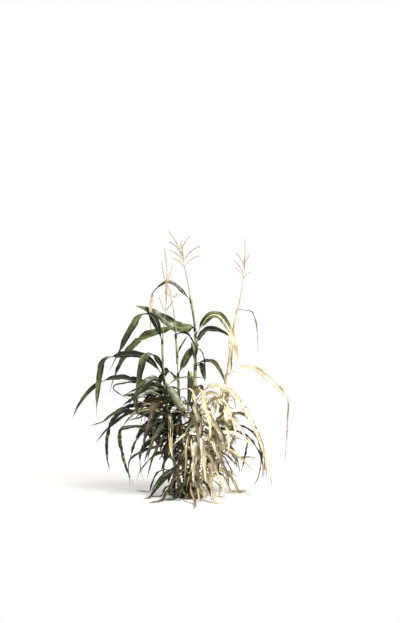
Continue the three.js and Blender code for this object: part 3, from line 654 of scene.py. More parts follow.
def blade(leaf, finish, rng, spacing, columns):
    """A blade that clasps its stem at the collar, opens into a trough and is drawn out to a point."""
    stem, length, width = leaf["stem"], leaf["length"], leaf["width"]
    out, level = compass(leaf["heading"])
    clasp = radius_at(stem, leaf["collar"]) + GAP + WALL + CLASP["off"]
    root = axis(stem, leaf["start"][2] - CLASP["foot"]) + out * clasp
    rise = np.linspace(0, 1, 5)[:-1]
    fine, share = laid_out(leaf, spacing)
    points = np.concatenate([mix(root, leaf["start"], rise[:, None]), fine])
    # t is the share of the length from the collar, and below nought in the clasp
    t = np.concatenate([(rise - 1) * CLASP["foot"] / length, share])
    on_blade = np.clip(t, 0, 1)
    distance = t * length
    free = smooth(t * FREES)
    points += level * (waves(distance, rng, WAVES["sway"]) * finish["sway"] * free)[:, None]
    ahead = unit(np.gradient(points, axis=0))
    across = unit(level - ahead * (ahead @ level)[:, None])
    face = np.cross(ahead, across)
    # the blade turns round its own length: by its roll and twist, turned over, and by its wobble
    angle = leaf["roll"] * smooth(t / leaf.get("turn_in", TURN_IN)) + leaf["twist"] * on_blade
    place, over, shut = leaf.get("over", NEVER_OVER)
    angle += over * smooth(t / TURNS_OVER) * (1 - smooth((t - place + TURNS_BACK / 2) / TURNS_BACK))
    angle = np.radians(angle + finish["wobble"] * waves(distance, rng, WAVES["wobble"]) * free)[:, None]
    cos, sin = np.cos(angle), np.sin(angle)
    across, face = across * cos + face * sin, face * cos - across * sin

    # each row is an arc of half angle phi, from the clasp's wide one to the trough's
    s = columns[None, :]
    opened = smooth((distance - CLASP["opens"]) / CLASP["over"])[:, None]
    uneven = 1 + TROUGH["uneven"] * waves(distance, rng, WAVES["curl"])
    curl = finish["curl"] * smooth(3 * t) * (1 - TROUGH["lost"] * t) * uneven
    flattest = TROUGH["flattest"]
    phi = np.maximum(mix(CLASP["angle"], np.maximum(curl, flattest)[:, None], opened), flattest)
    fold, fold_turn = leaf.get("kink", NO_KINK)
    narrow = neck(fold_turn, (t - fold) * length, KINK_NECK) * neck(over, (t - place) * length, OVER_NECK)
    narrow *= 1 - SHUT * smooth((t - shut + SHUTS / 2) / SHUTS)
    half = mix(clasp, np.maximum(blade_width(t, width) / 2 * narrow, NEEDLE)[:, None], opened)
    left = notched(distance, length, rng, finish["notches"])
    right = notched(distance, length, rng, finish["notches"])
    reach = np.where(s > 0, left[:, None], right[:, None]) * s
    bend_radius = half / np.sin(np.minimum(phi, math.pi / 2))
    x = bend_radius * np.sin(reach * phi)
    y = bend_radius * (1 - np.cos(reach * phi))

    # ruffled margins, by the rule's slow wave and a quick one, and a crumpled face
    margin = np.abs(s) ** 2.2 * opened * smooth(3 * t)[:, None] * (1 - on_blade)[:, None]
    margin = margin * finish["ruffle"]
    for sign, lag in ((1, 0), (-1, RUFFLE_LAG)):
        slow = RUFFLES[0] * RUFFLE * np.sin(2 * math.pi * distance / RUFFLE_LENGTH + lag)
        quick = RUFFLES[1] * waves(distance, rng, WAVES["ruffle"])
        y = y + np.where(s * sign > 0, margin, 0) * (width * (slow + quick))[:, None]
    crumple = waves(distance[:, None] + 40 * s, rng, WAVES["crumple"]) * finish["crumple"]
    y = y + crumple * opened * np.minimum(half / 12, 1)
    grid = points[:, None] + x[..., None] * across[:, None] + y[..., None] * face[:, None]
    grid[..., 2] = np.maximum(grid[..., 2], LOWEST + RAISED)
    normal = unit(np.cross(np.gradient(grid, axis=0), np.gradient(grid, axis=1)))

    # the blade's thickness, with the rib standing out below and a groove above it
    rib = mix(*RIB, on_blade)[:, None] * np.exp(-((s / RIB_WIDTH) ** 2)) * smooth(half / 6)
    thin = mix(*THIN, np.abs(s))
    upper = grid + normal * (thin - 0.3 * rib)[..., None]
    under = grid - normal * (thin + rib)[..., None]
    # skins: 0 the upper side, 1 the midrib, 2 the dry tip and margins, brown on pale blades as dryness and
    # painted shade, 3 the underside, darker as painted shade on green blades and light as painted light on
    # dry ones
    middle = (columns[1:] + columns[:-1]) / 2
    dry_tip = finish["tip"] + 0.05 * waves(middle[None] * 40 + distance[:-1, None], rng, WAVES["dry_tip"])
    # skin 2 marks the margins and tip: a dry margin, which on straw, bleached and pale blades is brown as
    # painted shade in the curl as well as dryness
    ragged = np.maximum(waves(distance[:-1], rng, WAVES["dry_and_shaded_edge"]), 0)[:, None]
    dry_and_shaded_edge = 1 - finish["edge"] * (0.4 + 4 * ragged * smooth(t[:-1, None]))
    dry = (t[:-1, None] > dry_tip) | (np.abs(middle)[None] > dry_and_shaded_edge)
    kinds = np.where(np.abs(middle) < RIB_WIDTH, 1, 0)[None] + np.zeros((len(points) - 1, 1), int)
    kinds[dry] = 2
    # the underside's skin 3 is a copy of the upper skin with painted shade, and on dry blades painted light
    below = np.where(kinds == 0, 3, kinds)
    uv = np.stack(np.broadcast_arrays(s * half, distance[:, None]), -1)
    return shell(upper, under, kinds, uv, below)


# A sheath: how far its margins overlap in radians, its columns of points and the height of a row, how
# much lower it is cut behind the midrib and how far the cut waves, its thickness, how many ribs it has
# round it and how high they and the midrib stand, from what share of its height it is loose, and how
# far its foot swells
WRAP = {
    "lap": 0.5, "columns": 37, "row": 9, "slant": 12, "wave": 2, "thick": 0.75, "ribs": 17, "rib": 0.16,
    "midrib": 1.0, "loose": 0.72, "swell": 1.3,
}


def sheath(stem, low, top, heading, rng, flare):
    """A sheath: a ribbed wrap whose margins overlap behind the midrib, cut slanting at the collar."""
    columns = WRAP["columns"]
    angle = np.linspace(-math.pi - WRAP["lap"], math.pi + WRAP["lap"], columns)
    behind = (np.abs(angle) / math.pi) ** 2
    rows = max(5, int((top - low) / WRAP["row"]))
    share = np.linspace(0, 1, rows)[:, None]
    slant = WRAP["slant"] * behind + WRAP["wave"] * np.sin(3 * angle + rng.uniform(0, 6))
    z = low + (top - slant - low) * share
    middle = np.array([[axis(stem, height) for height in row] for row in z])
    radius = np.array([[radius_at(stem, height) for height in row] for row in z])
    radius += GAP + 0.5 + 0.55 * angle / math.pi
    ribs = WRAP["rib"] * np.cos(angle * WRAP["ribs"]) + WRAP["midrib"] * np.exp(-((angle / 0.2) ** 2)) * share
    loose = smooth((share - WRAP["loose"]) / (1 - WRAP["loose"])) * flare * behind
    loose = loose + flare * 0.25 * waves(angle[None] * 3 + share * 5, rng, (3, 2)) * share**2
    swell = WRAP["swell"] * np.exp(-((z - low - 3) / 5) ** 2)
    turn = math.radians(heading) + angle
    out = np.stack([np.cos(turn), np.sin(turn), np.zeros_like(turn)], -1)[None]
    under = middle + (radius + loose + swell)[..., None] * out
    upper = middle + (radius + loose + swell + WRAP["thick"] + ribs)[..., None] * out
    uv = np.stack(np.broadcast_arrays(angle[None] * radius, z), -1)
    # seen from outside the columns run to the left, so the rows run up and the outside is the upper side
    return shell(upper[:, ::-1], under[:, ::-1], np.zeros((rows - 1, columns - 1), int), uv[:, ::-1])


def stacked():
    """The sheaths of every stem from the ground up: node, leaves, and the height of the foot."""
    stacks = {stem: [] for stem in STEMS}
    for name, sizes in LEAVES.items():
        leaf = single_leaf(sizes)
        leaf["over"] = TURNED_OVER.get(name, NEVER_OVER)
        leaf["turn_in"] = TURNED_IN.get(name, TURN_IN)
        stacks[leaf["stem"]].append((leaf["collar"], leaf["collar"], f"leaf_{name}", [leaf]))
    for name, sizes in SKIRTS.items():
        stacks[sizes[0]].append((sizes[2], sizes[1], f"lower_leaves_{name}", skirt_leaves(sizes)))
    entries = []
    for stack in stacks.values():
        below = CROWN["height"]
        for collar, low, node, leaves in sorted(stack, key=lambda entry: entry[0]):
            entries.append((node, leaves, max(below + JOIN, low - SHEATH), collar))
            below = collar
    return entries


# A group's leaves are dark on the left of the clump, partly as painted shade on the side away from the key
# light, and dry on its right: where each side begins, the finishes that they have there, and how often
# they are straw or bleached on the right
DARK_SIDE = -25
DRY_SIDE = 15
DARK_FINISHES = ("deep", "deep", "dark", "brown")
MIDDLE_FINISHES = ("deep", "brown", "straw")
STRAW_SHARE = 0.45
BLEACHED_SHARE = 0.85
# Turns a leaf's length into a number between 0 and 1 that picks its finish
PICK = 7.3


def middle_of(leaf):
    """How far to the right the middle of a leaf is."""
    return leaf["stations"][len(leaf["stations"]) // 2][0]


def finish_of(leaf):
    """A leaf's own finish, or else one picked by its place and length."""
    if "finish" in leaf:
        return leaf["finish"]
    x = middle_of(leaf)
    shade = (leaf["length"] * PICK) % 1
    if x < DARK_SIDE:
        return DARK_FINISHES[int(shade * len(DARK_FINISHES))]
    if x < DRY_SIDE:
        return MIDDLE_FINISHES[int(shade * len(MIDDLE_FINISHES))]
    if shade < STRAW_SHARE:
        return "straw"
    return "bleached" if shade < BLEACHED_SHARE else "brown"


# The spacing of the rows along a single leaf and along one of a group
LEAF_ROWS = 6
GROUP_ROWS = 7.5
# How far a withered or a group's sheath, and a live one, stands off its cane at the collar
LOOSE_FLARE = 5
CLOSE_FLARE = 2.2


def leaf_piece(order, node, leaves, low, top):
    """A single leaf, or a group of leaves on one sheath."""
    rng = np.random.default_rng(1000 + order)
    solid = corners_of(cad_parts[node].data)
    alone = len(leaves) == 1
    placed = [leaf for leaf in (settled(leaf, solid) for leaf in leaves) if leaf]
    skins, parts = [], []

    def numbered(names):
        for name in names:
            if name not in skins:
                skins.append(name)
        return np.array([skins.index(name) for name in names])

    for leaf in placed:
        finish = FINISHES[finish_of(leaf)]
        numbers = numbered(finish["skins"])
        grown = blade(leaf, finish, rng, LEAF_ROWS if alone else GROUP_ROWS, BROAD if alone else SLIM)
        grown["skins"] = numbers[grown["skins"]]
        parts.append(grown)
    stem = leaves[0]["stem"]
    dry = stem in DRY_STEMS
    first = placed[0] if placed else leaves[0]
    wrap = sheath(stem, low, top, first["heading"], rng, LOOSE_FLARE if dry or not alone else CLOSE_FLARE)
    withered = dry or (stem == "main" and top < DEAD_BELOW)
    wrap["skins"] = numbered(["straw_sheath" if withered else "green_sheath"])[wrap["skins"]]
    parts.append(wrap)
    dressed(f"maize_{node}", parts, skins, node)


# A cane: how deep it stands in the root crown and how much thinner it is than the rule's, the step of
# its rings, the heights of the closer ones round a joint, how far a joint swells and over what height,
# its sides, and the depth of the flute along it
CANE = {
    "sunk": 4, "thinner": 0.4, "step": 14, "rings": (-9, -6, -4, -2, 0, 2, 4, 7), "swell": 1.1,
    "reach": 3.4, "sides": 24, "flute": 0.05,
}


def cane(stem, joints):
    """A cane, ringed and swollen at its joints and fluted between them."""
    low = LOWEST if stem == "main" else CROWN["height"] - CANE["sunk"]
    heights = np.unique(np.concatenate([
        np.arange(low, top_of(stem), CANE["step"]), [top_of(stem)],
        *[joint + np.array(CANE["rings"]) for joint in joints],
    ]))
    heights = heights[(heights >= low) & (heights <= top_of(stem))]
    heights = heights[np.concatenate([[True], np.diff(heights) > 0.5])]
    points = np.array([axis(stem, z) for z in heights])
    radius = np.array([radius_at(stem, z) for z in heights]) - CANE["thinner"]
    for joint in joints:
        radius += CANE["swell"] * np.exp(-(((heights - joint) / CANE["reach"]) ** 2)) * (radius > 3)
    sides = CANE["sides"]
    flute = 1 - CANE["flute"] * np.maximum(np.cos(2 * math.pi * np.arange(sides) / sides), 0) ** 4
    return tube(points, radius[:, None] * flute[None], sides, side=np.array([0.0, 1.0, 0.0]))


# The rings of the root crown: height, how far towards the top of the cone, and the share of its half
# widths kept
MOUND = (
    (0, 0, 1), (4, 0.1, 1), (11, 0.5, 0.99), (17, 0.85, 0.97), (21, 1, 0.9), (24, 1, 0.66), (26, 1, 0.3),
)
MOUND_SIDES = 60
# Wave lengths of its lumps in tenths of a radian, for about one, five and twelve lumps round it
MOUND_WAVES = (62.83, 12.566, 5.2360)
# Above this height its rings rise and fall
UNEVEN_ABOVE = 15


def crown_mound(rng):
    """The root crown: a low lumpy mound with a flat foot."""
    angle = 2 * math.pi * np.arange(MOUND_SIDES) / MOUND_SIDES
    lumps = 1 - 0.05 * (1 + waves(angle * 10, rng, MOUND_WAVES)) / 2
    rings = []
    for z, share, keep in MOUND:
        wide, deep = [mix(foot, top, share) * keep for foot, top in zip(CROWN["foot"], CROWN["top"])]
        rough = lumps * (1 + 0.012 * np.sin(angle * 13 + z))
        height = z + (1.6 * np.sin(angle * 5 + z) if z > UNEVEN_ABOVE else 0 * angle)
        rings.append(np.stack([wide * rough * np.cos(angle), deep * rough * np.sin(angle), height], 1))
    points = np.concatenate(rings)
    faces = ringed(len(MOUND), MOUND_SIDES)
    return part(points, faces, np.full(len(faces), 1), points[:, :2])


def cane_pieces(entries):
    """The cane of every stem, jointed where its sheaths begin, with the root crown on the main one."""
    joints = {stem: [] for stem in STEMS}
    for _, leaves, low, _ in entries:
        joints[leaves[0]["stem"]].append(low)
    for stem in STEMS:
        dry = stem in DRY_STEMS
        parts = [cane(stem, joints[stem])]
        skins = ["straw_cane" if dry else "green_cane"]
        if stem == "main":
            parts.append(crown_mound(np.random.default_rng(5)))
            skins.append("root_crown")
        dressed(f"maize_cane_{stem}", parts, skins, f"stem_{stem}")


def add(tree, kind, inputs=None, **settings):
    """Adds one node with its settings, and links each input that is given as a socket."""
    node = tree.nodes.new(kind)
    for name, value in settings.items():
        setattr(node, name, value)
    for key, value in (inputs or {}).items():
        if isinstance(value, bpy.types.NodeSocket):
            tree.links.new(value, node.inputs[key])
        else:
            node.inputs[key].default_value = value
    return node


# Spikelets: the spacing of the pairs, their length and half width in metres, and their lean off the
# branch in radians
SPIKELET = {"Spacing": 0.0042, "Length": 0.0105, "Width": 0.0016, "Lean": 0.42}
# The golden angle in radians, which spreads them round the branch
GOLDEN = 2.39996


def spikelet_tree():
    """Geometry Nodes: pairs of spikelets along every line of a mesh of edges."""
    tree = bpy.data.node_groups.new("spikelets", "GeometryNodeTree")
    face = tree.interface
    face.new_socket("Lines", in_out="INPUT", socket_type="NodeSocketGeometry")
    for name, value in SPIKELET.items():
        socket = face.new_socket(name, in_out="INPUT", socket_type="NodeSocketFloat")
        socket.default_value = value
    face.new_socket("Seed", in_out="INPUT", socket_type="NodeSocketInt")
    face.new_socket("Skin", in_out="INPUT", socket_type="NodeSocketMaterial")
    face.new_socket("Spikelets", in_out="OUTPUT", socket_type="NodeSocketGeometry")
    given = tree.nodes.new("NodeGroupInput").outputs
    lines = add(tree, "GeometryNodeMeshToCurve", {"Mesh": given["Lines"]})
    spaced = add(tree, "GeometryNodeResampleCurve", {"Curve": lines.outputs[0]})
    spaced.mode = "LENGTH"
    tree.links.new(given["Spacing"], spaced.inputs["Length"])
    tangent = add(tree, "GeometryNodeInputTangent")
    index = add(tree, "GeometryNodeInputIndex")
    ball = add(tree, "GeometryNodeMeshUVSphere", {"Segments": 5, "Rings": 4, "Radius": 1.0})
    half = add(tree, "ShaderNodeMath", {0: given["Length"], 1: 0.5}, operation="MULTIPLY")
    size = add(tree, "ShaderNodeCombineXYZ", {0: given["Width"], 1: given["Width"], 2: half.outputs[0]})
    lift = add(tree, "ShaderNodeCombineXYZ", {2: half.outputs[0]})
    grain = add(tree, "GeometryNodeTransform", {
        "Geometry": ball.outputs[0], "Scale": size.outputs[0], "Translation": lift.outputs[0],
    })
    ahead = add(tree, "FunctionNodeAlignRotationToVector", {"Vector": tangent.outputs[0]}, axis="Z")
    # inputs 2 and 3 of a random value are its least and greatest
    jitter = add(tree, "FunctionNodeRandomValue", {2: -0.5, 3: 0.5, "Seed": given["Seed"]}, data_type="FLOAT")
    spin = add(tree, "ShaderNodeMath", {0: index.outputs[0], 1: GOLDEN}, operation="MULTIPLY")
    around = add(tree, "ShaderNodeMath", {0: spin.outputs[0], 1: jitter.outputs[1]}, operation="ADD")
    lean = add(tree, "ShaderNodeCombineXYZ", {0: given["Lean"]})
    turn = add(tree, "ShaderNodeCombineXYZ", {2: around.outputs[0]})
    first = add(tree, "FunctionNodeRotateRotation", {
        "Rotation": ahead.outputs[0], "Rotate By": turn.outputs[0],
    }, rotation_space="LOCAL")
    second = add(tree, "FunctionNodeRotateRotation", {
        "Rotation": first.outputs[0], "Rotate By": lean.outputs[0],
    }, rotation_space="LOCAL")
    grown = add(tree, "FunctionNodeRandomValue", {2: 0.7, 3: 1.15, "Seed": given["Seed"]}, data_type="FLOAT")
    placed = add(tree, "GeometryNodeInstanceOnPoints", {
        "Points": spaced.outputs[0], "Instance": grain.outputs[0], "Rotation": second.outputs[0],
        "Scale": grown.outputs[1],
    })
    real = add(tree, "GeometryNodeRealizeInstances", {"Geometry": placed.outputs[0]})
    skinned = add(tree, "GeometryNodeSetMaterial", {
        "Geometry": real.outputs[0], "Material": given["Skin"],
    })
    out = tree.nodes.new("NodeGroupOutput")
    tree.links.new(skinned.outputs[0], out.inputs[0])
    return tree


def grown_by(tree, mesh, values):
    """The mesh that a Geometry Nodes tree makes of a mesh, with its named inputs set."""
    holder = new_object("holder", mesh)
    modifier = holder.modifiers.new("grow", "NODES")
    modifier.node_group = tree
    for item in tree.interface.items_tree:
        if item.in_out == "INPUT" and item.name in values:
            modifier[item.identifier] = values[item.name]
    bpy.context.view_layer.update()
    shown = holder.evaluated_get(bpy.context.evaluated_depsgraph_get())
    made = bpy.data.meshes.new_from_object(shown)
    holder.modifiers.remove(modifier)
    bpy.data.objects.remove(holder)
    return made


def mesh_part(mesh, skin):
    """A Blender mesh as a piece of mesh in millimetres."""
    points = corners_of(mesh)
    faces = [list(polygon.vertices) for polygon in mesh.polygons]
    return part(points, faces, np.full(len(faces), skin), points[:, [0, 2]])


def twig_line(start, heading, length, lift):
    """A fine smooth line along the rule's course of a twig, and the stations of that course."""
    rise, fall = lift
    stations = course({
        "start": start, "heading": heading, "length": length, "lift": (rise, fall, fall),
        "bend": TWIG["bend"],
    }, TWIG["step"])
    return through(stations, 5), stations


# The shares of the spike and of a branch that bear no spikelets
BARE_SPIKE = 0.5
BARE_BRANCH = 0.12


def tassel_piece(name, sizes, tree):
    """A tassel: thin branches set all along with paired spikelets."""
    stem = sizes["stem"]
    foot = axis(stem, top_of(stem)) - np.array([0, 0, TWIG["sunk"]])
    spike, stations = twig_line(foot, sizes["heading"], sizes["length"], sizes["lift"])
    lines, parts = [spike], [tube(spike, np.linspace(*TWIG["spike"], len(spike)), 7)]
    for place, heading, rise, fall, reach in sizes["branches"]:
        station = place * (len(stations) - 1)
        low = int(station)
        root = mix(stations[low], stations[low + 1], station - low)
        line, _ = twig_line(root, heading, reach, (rise, fall))
        lines.append(line)
        parts.append(tube(line, np.linspace(*TWIG["branch"], len(line)), 5))
    points, edges, base = [], [], 0
    for i, line in enumerate(lines):
        bare = int(len(line) * (BARE_SPIKE if i == 0 else BARE_BRANCH))
        kept = line[bare:]
        points.append(kept)
        edges += [(base + k, base + k + 1) for k in range(len(kept) - 1)]
        base += len(kept)
    mesh = bpy.data.meshes.new("lines")
    mesh.from_pydata(np.concatenate(points) * MM, edges, [])
    grains = grown_by(tree, mesh, {"Skin": bpy.data.materials["tassel_straw"], "Seed": len(name)})
    parts.append(mesh_part(grains, 0))
    dressed(f"maize_tassel_{name}", parts, ["tassel_straw"], f"tassel_{name}")


# A husked ear: the share of its length that is shank, the least radius, the curve of its sides, and
# how far its core lies inside them
HUSK = {"shank": 0.12, "neck": 5, "arch": (0.1, 0.86), "lean": 0.8, "fullness": 0.7, "inset": 1.4}
# Its husk leaves: how many, the angle from one to the next, where they begin, how far the shortest
# reach and how much further the longest do, as shares of the ear, the half angle that each covers,
# their rows and columns of points, half their thickness, and how far a tip stands off
HUSK_LEAF = {
    "count": 9, "onward": 2.4, "from": 0.04, "reach": 0.8, "further": 0.24, "covers": 1.25, "rows": 26,
    "columns": 15, "thin": 0.35, "off": 3.5,
}
# Its silks: how many, where they come out, their points, their lengths, how far they droop as a share
# of that, how far they stray, and their radii
SILK = {
    "count": 70, "from": 0.93, "points": 7, "length": (26, 48), "droop": 0.5, "stray": 1.2,
    "radius": (0.55, 0.3),
}


def ear_radius(share, radius):
    """The radius of the husked ear at a share of its length."""
    grown = np.clip((share - HUSK["shank"]) / (1 - HUSK["shank"]), 0, 1)
    start, stretch = HUSK["arch"]
    swell = np.sin(math.pi * (start + stretch * grown) ** HUSK["lean"]) ** HUSK["fullness"]
    return np.maximum(radius * swell * smooth(4 * grown + 0.2), HUSK["neck"])


def ear_piece(order, name, sizes):
    """An ear in its husk leaves, with the dry silks at its tip."""
    stem, height, heading, lift, length, radius = sizes
    rng = np.random.default_rng(300 + order)
    out, side = compass(heading)
    start = axis(stem, height) + out * radius_at(stem, height)
    tilt = math.radians(lift)
    ahead = out * math.cos(tilt) + np.array([0, 0, math.sin(tilt)])
    face = np.cross(ahead, side)
    share = np.linspace(0, 1, 30)
    core = start + ahead * (share * length)[:, None]
    parts = [tube(core, ear_radius(share, radius) - HUSK["inset"], 20, 0)]
    layers = HUSK_LEAF["count"]
    for k in range(layers):
        middle = k * HUSK_LEAF["onward"] + rng.uniform(-0.2, 0.2)
        reach = HUSK_LEAF["reach"] + HUSK_LEAF["further"] * (k % 3) / 2
        rows = np.linspace(HUSK_LEAF["from"], reach, HUSK_LEAF["rows"])
        spread = HUSK_LEAF["covers"] * (1 - (rows / reach) ** 3) ** 0.7 + 0.02
        columns = np.linspace(-1, 1, HUSK_LEAF["columns"])
        angle = middle + columns[None] * spread[:, None]
        # each layer lies over the one before, and its tip stands off
        lift_off = 0.35 + 0.32 * k / layers * 3
        lift_off = lift_off + HUSK_LEAF["off"] * smooth((rows - reach + 0.2) / 0.2) * rng.uniform(0.2, 1)
        ribs = 0.22 * np.cos(columns * 21)[None]
        ribs = ribs + 0.5 * waves(rows[:, None] * 100 + columns * 9, rng, (70, 31))
        base = ear_radius(rows, radius)[:, None] + lift_off[:, None] + ribs
        direction = np.cos(angle)[..., None] * side + np.sin(angle)[..., None] * face
        centre = start + ahead * (rows * length)[:, None]
        upper = centre[:, None] + (base + HUSK_LEAF["thin"])[..., None] * direction
        under = centre[:, None] + (base - HUSK_LEAF["thin"])[..., None] * direction
        uv = np.stack(np.broadcast_arrays(angle * radius, (rows * length)[:, None]), -1)
        kinds = np.full((len(rows) - 1, len(columns) - 1), 0)
        kinds[rows[:-1] > reach - 0.1 * rng.uniform(0.3, 1)] = 1
        parts.append(shell(upper[:, ::-1], under[:, ::-1], kinds, uv[:, ::-1]))
    tip = start + ahead * length * SILK["from"]
    count = SILK["points"]
    s = np.linspace(0, 1, count)[:, None]
    down = np.array([0, 0, -1.0])
    for _ in range(SILK["count"]):
        spin, far = rng.uniform(0, 2 * math.pi), rng.uniform(0.2, 1)
        push = unit(ahead * 1.2 + (math.cos(spin) * side + math.sin(spin) * face) * far)
        reach = rng.uniform(*SILK["length"])
        strand = tip + push * s * reach + down * s**2 * reach * SILK["droop"]
        strand += rng.normal(0, SILK["stray"], (count, 3)) * s
        parts.append(tube(strand, np.linspace(*SILK["radius"], count), 3, 2))
    skins = ["green_husk" if name == "middle" else "husk_skin", "straw_blade", "dry_silk"]
    dressed(f"maize_ear_{name}", parts, skins, f"ear_{name}")


# Withered growth round the lower stems: stem, count, lowest and highest root, middle and spread of
# the headings, and its kind
WITHERED = {
    "left_tangle": ("left", 12, 500, 625, 160, 100, "sprawling"),
    "left_core": ("left", 13, 330, 480, 115, 150, "short"),
    "left_cross": ("left", 8, 310, 570, 35, 80, "sprawling"),
    "left_dead": ("left", 3, 260, 560, 130, 120, "hanging"),
    "left_strips": ("left", 8, 260, 540, 140, 200, "strip"),
    "inner_tangle": ("inner", 11, 470, 610, 160, 90, "sprawling"),
    "inner_core": ("inner", 15, 290, 480, 150, 130, "short"),
    "inner_dead": ("inner", 3, 240, 560, 120, 160, "hanging"),
    "inner_strips": ("inner", 8, 220, 560, 200, 260, "strip"),
    "back_core": ("back", 10, 240, 440, 130, 220, "short"),
    "back_cross": ("back", 6, 260, 440, 20, 120, "sprawling"),
    "back_dead": ("back", 4, 200, 440, 100, 160, "hanging"),
    "main_dead": ("main", 4, 90, 560, 20, 300, "hanging"),
    "main_strips": ("main", 12, 60, 560, 0, 200, "strip"),
    "main_short": ("main", 8, 300, 540, 150, 220, "short"),
    "right_dead": ("right", 4, 90, 560, 0, 300, "hanging"),
    "right_cross": ("right", 22, 250, 560, 180, 360, "ribbon"),
    "right_strips": ("right", 30, 90, 560, -40, 280, "strip"),
    "right_short": ("right", 6, 250, 480, 90, 200, "short"),
    "front_dead": ("front", 3, 60, 500, -60, 240, "hanging"),
    "front_cross": ("front", 7, 330, 540, -30, 360, "ribbon"),
    "front_strips": ("front", 9, 60, 300, -60, 300, "strip"),
}
# Ranges of each kind: length, width, and lifts at the root, past the arch and at the tip
RANGES = ("length", "width", "rise", "past", "fall")
KINDS = {kind: dict(zip(RANGES, ranges)) for kind, ranges in {
    "sprawling": ((150, 300), (14, 30), (-15, 34), (-40, -8), (-74, -28)),
    "short": ((90, 190), (20, 38), (-30, 30), (-75, -30), (-96, -60)),
    "hanging": ((150, 320), (20, 38), (-30, 45), (-80, -40), (-96, -70)),
    "ribbon": ((90, 230), (6, 16), (-40, 60), (-50, 0), (-80, -20)),
    "strip": ((90, 240), (6, 15), (-20, 50), (-88, -50), (-98, -76)),
}.items()}
# The spacing of the rows along an old leaf, a withered leaf or butt, and a strip
OLD_ROWS = 7
WITHERED_ROWS = 8
STRIP_ROWS = 9
# Torn butts of sheaths that lie over the root crown: stem and count
BUTTS = {"left": 7, "inner": 5, "main": 9, "right": 8, "front": 8, "back": 7}
# Withered leaves are dark to the left of this place, give or take the spread, partly as painted shade on
# the side of the clump away from the key light, and pale to its right. Of the dark ones this share is
# deep, and the rest brown.
PALE_SIDE = -18
PALE_SPREAD = 12
DEEP_SHARE = 0.7
PALE_FINISHES = ("bleached", "bleached", "bleached", "straw", "straw", "brown")


def withered_leaf(stem, collar, heading, ranges, rng):
    """One withered leaf or strip by the rule, with sizes by chance within the ranges."""
    return rooted({
        "stem": stem, "collar": collar, "heading": heading,
        "length": rng.uniform(*ranges["length"]), "width": rng.uniform(*ranges["width"]),
        "lift": [rng.uniform(*ranges[name]) for name in ("rise", "past", "fall")],
        "bend": (rng.uniform(0.1, 0.35), rng.uniform(0.04, 0.1)), "roll": rng.uniform(-80, 80),
        "twist": rng.uniform(-110, 110), "kink": (rng.uniform(0.35, 0.75), rng.uniform(-70, 80)),
    })


def torn_butt(stem, heading, rng):
    """The torn foot of an old sheath, splayed out low over the ground."""
    return rooted({
        "stem": stem, "collar": rng.uniform(30, 62), "length": rng.uniform(40, 95),
        "heading": heading + rng.uniform(-20, 20), "width": rng.uniform(18, 34),
        "lift": (rng.uniform(-30, 30), rng.uniform(-80, -55), rng.uniform(-50, -20)),
        "bend": (0.2, 0.1), "roll": rng.uniform(-20, 20), "twist": rng.uniform(-50, 50),
    })


def tint(leaf, rng):
    """The finish of a withered leaf: dark on the left of the clump, partly as painted shade, and pale on its
    right.
    """
    if middle_of(leaf) + rng.normal(0, PALE_SPREAD) < PALE_SIDE:
        return "deep" if rng.uniform() < DEEP_SHARE else "brown"
    return PALE_FINISHES[rng.integers(len(PALE_FINISHES))]


def old_leaf_pieces():
    """The old leaves, withered leaves, torn strips and torn butts, each kind joined in one piece."""
    rng = np.random.default_rng(77)
    names = []
    for finish in FINISHES.values():
        names += [name for name in finish["skins"] if name not in names]
    heaps = {"old_leaves": [], "withered_leaves": [], "torn_strips": [], "torn_butts": []}

    def grown(heap, leaf, kind, spacing, columns):
        made = blade(leaf, FINISHES[kind], rng, spacing, columns)
        made["skins"] = np.array([names.index(name) for name in FINISHES[kind]["skins"]])[made["skins"]]
        heaps[heap].append(made)

    for sizes in OLD_LEAVES.values():
        leaf = rooted(single_leaf(sizes))
        grown("old_leaves", leaf, leaf["finish"], OLD_ROWS, SLIM)
    for stem, count, low, high, middle, spread, kind in WITHERED.values():
        for share in (np.arange(count) + rng.uniform(0, 1, count)) / count:
            heading = middle + spread * rng.uniform(-0.5, 0.5)
            leaf = withered_leaf(stem, mix(low, high, share), heading, KINDS[kind], rng)
            if kind in ("strip", "ribbon"):
                grown("torn_strips", leaf, tint(leaf, rng), STRIP_ROWS, STRAP)
            else:
                grown("withered_leaves", leaf, tint(leaf, rng), WITHERED_ROWS, SLIM)
    for stem, count in BUTTS.items():
        for i in range(count):
            leaf = torn_butt(stem, 360 * i / count, rng)
            grown("torn_butts", leaf, "brown" if rng.uniform() < 0.5 else "straw", WITHERED_ROWS, SLIM)
    for heap, parts in heaps.items():
        dressed(f"maize_{heap}", parts, names, None)


def linear(colour):
    """A linear colour from an sRGB hex value."""
    parts = [int(colour[i:i + 2], 16) / 255 for i in (1, 3, 5)]
    return (*[c / 12.92 if c <= 0.04045 else ((c + 0.055) / 1.055) ** 2.4 for c in parts], 1.0)


# The skins' patterns in metres: how much longer a streak is than wide, the size of a stain across and
# along the fibre, and the depth of the relief
STREAK_LENGTH = 14
STAIN = (0.004, 0.05)
RELIEF = 0.0004
# About how many patches the slow mottle has to the metre
MOTTLE = 14.0
# How far below and above its middle the noise goes from the dark to the light colour, where a stain
# sets in and is at its strongest, how strong that is, and where in the noise the stains are taken from
SPAN = (0.09, 0.11)
STAINED = (0.56, 0.7)
STAIN_STRENGTH = 0.8
STAIN_PLACE = (7.3, 2.1, 0)
# A wave texture at scale 1 repeats its bands every 2 pi / 20 units
WAVE_BAND = 2 * math.pi / 20


def noise(tree, place, scale, detail):
    return add(tree, "ShaderNodeTexNoise", {"Vector": place, "Scale": scale, "Detail": detail})


def blended(tree, share, one, other):
    """A colour between two, by a share."""
    mixed = add(tree, "ShaderNodeMix", {"Factor": share, 6: one, 7: other}, data_type="RGBA")
    return mixed.outputs[2]


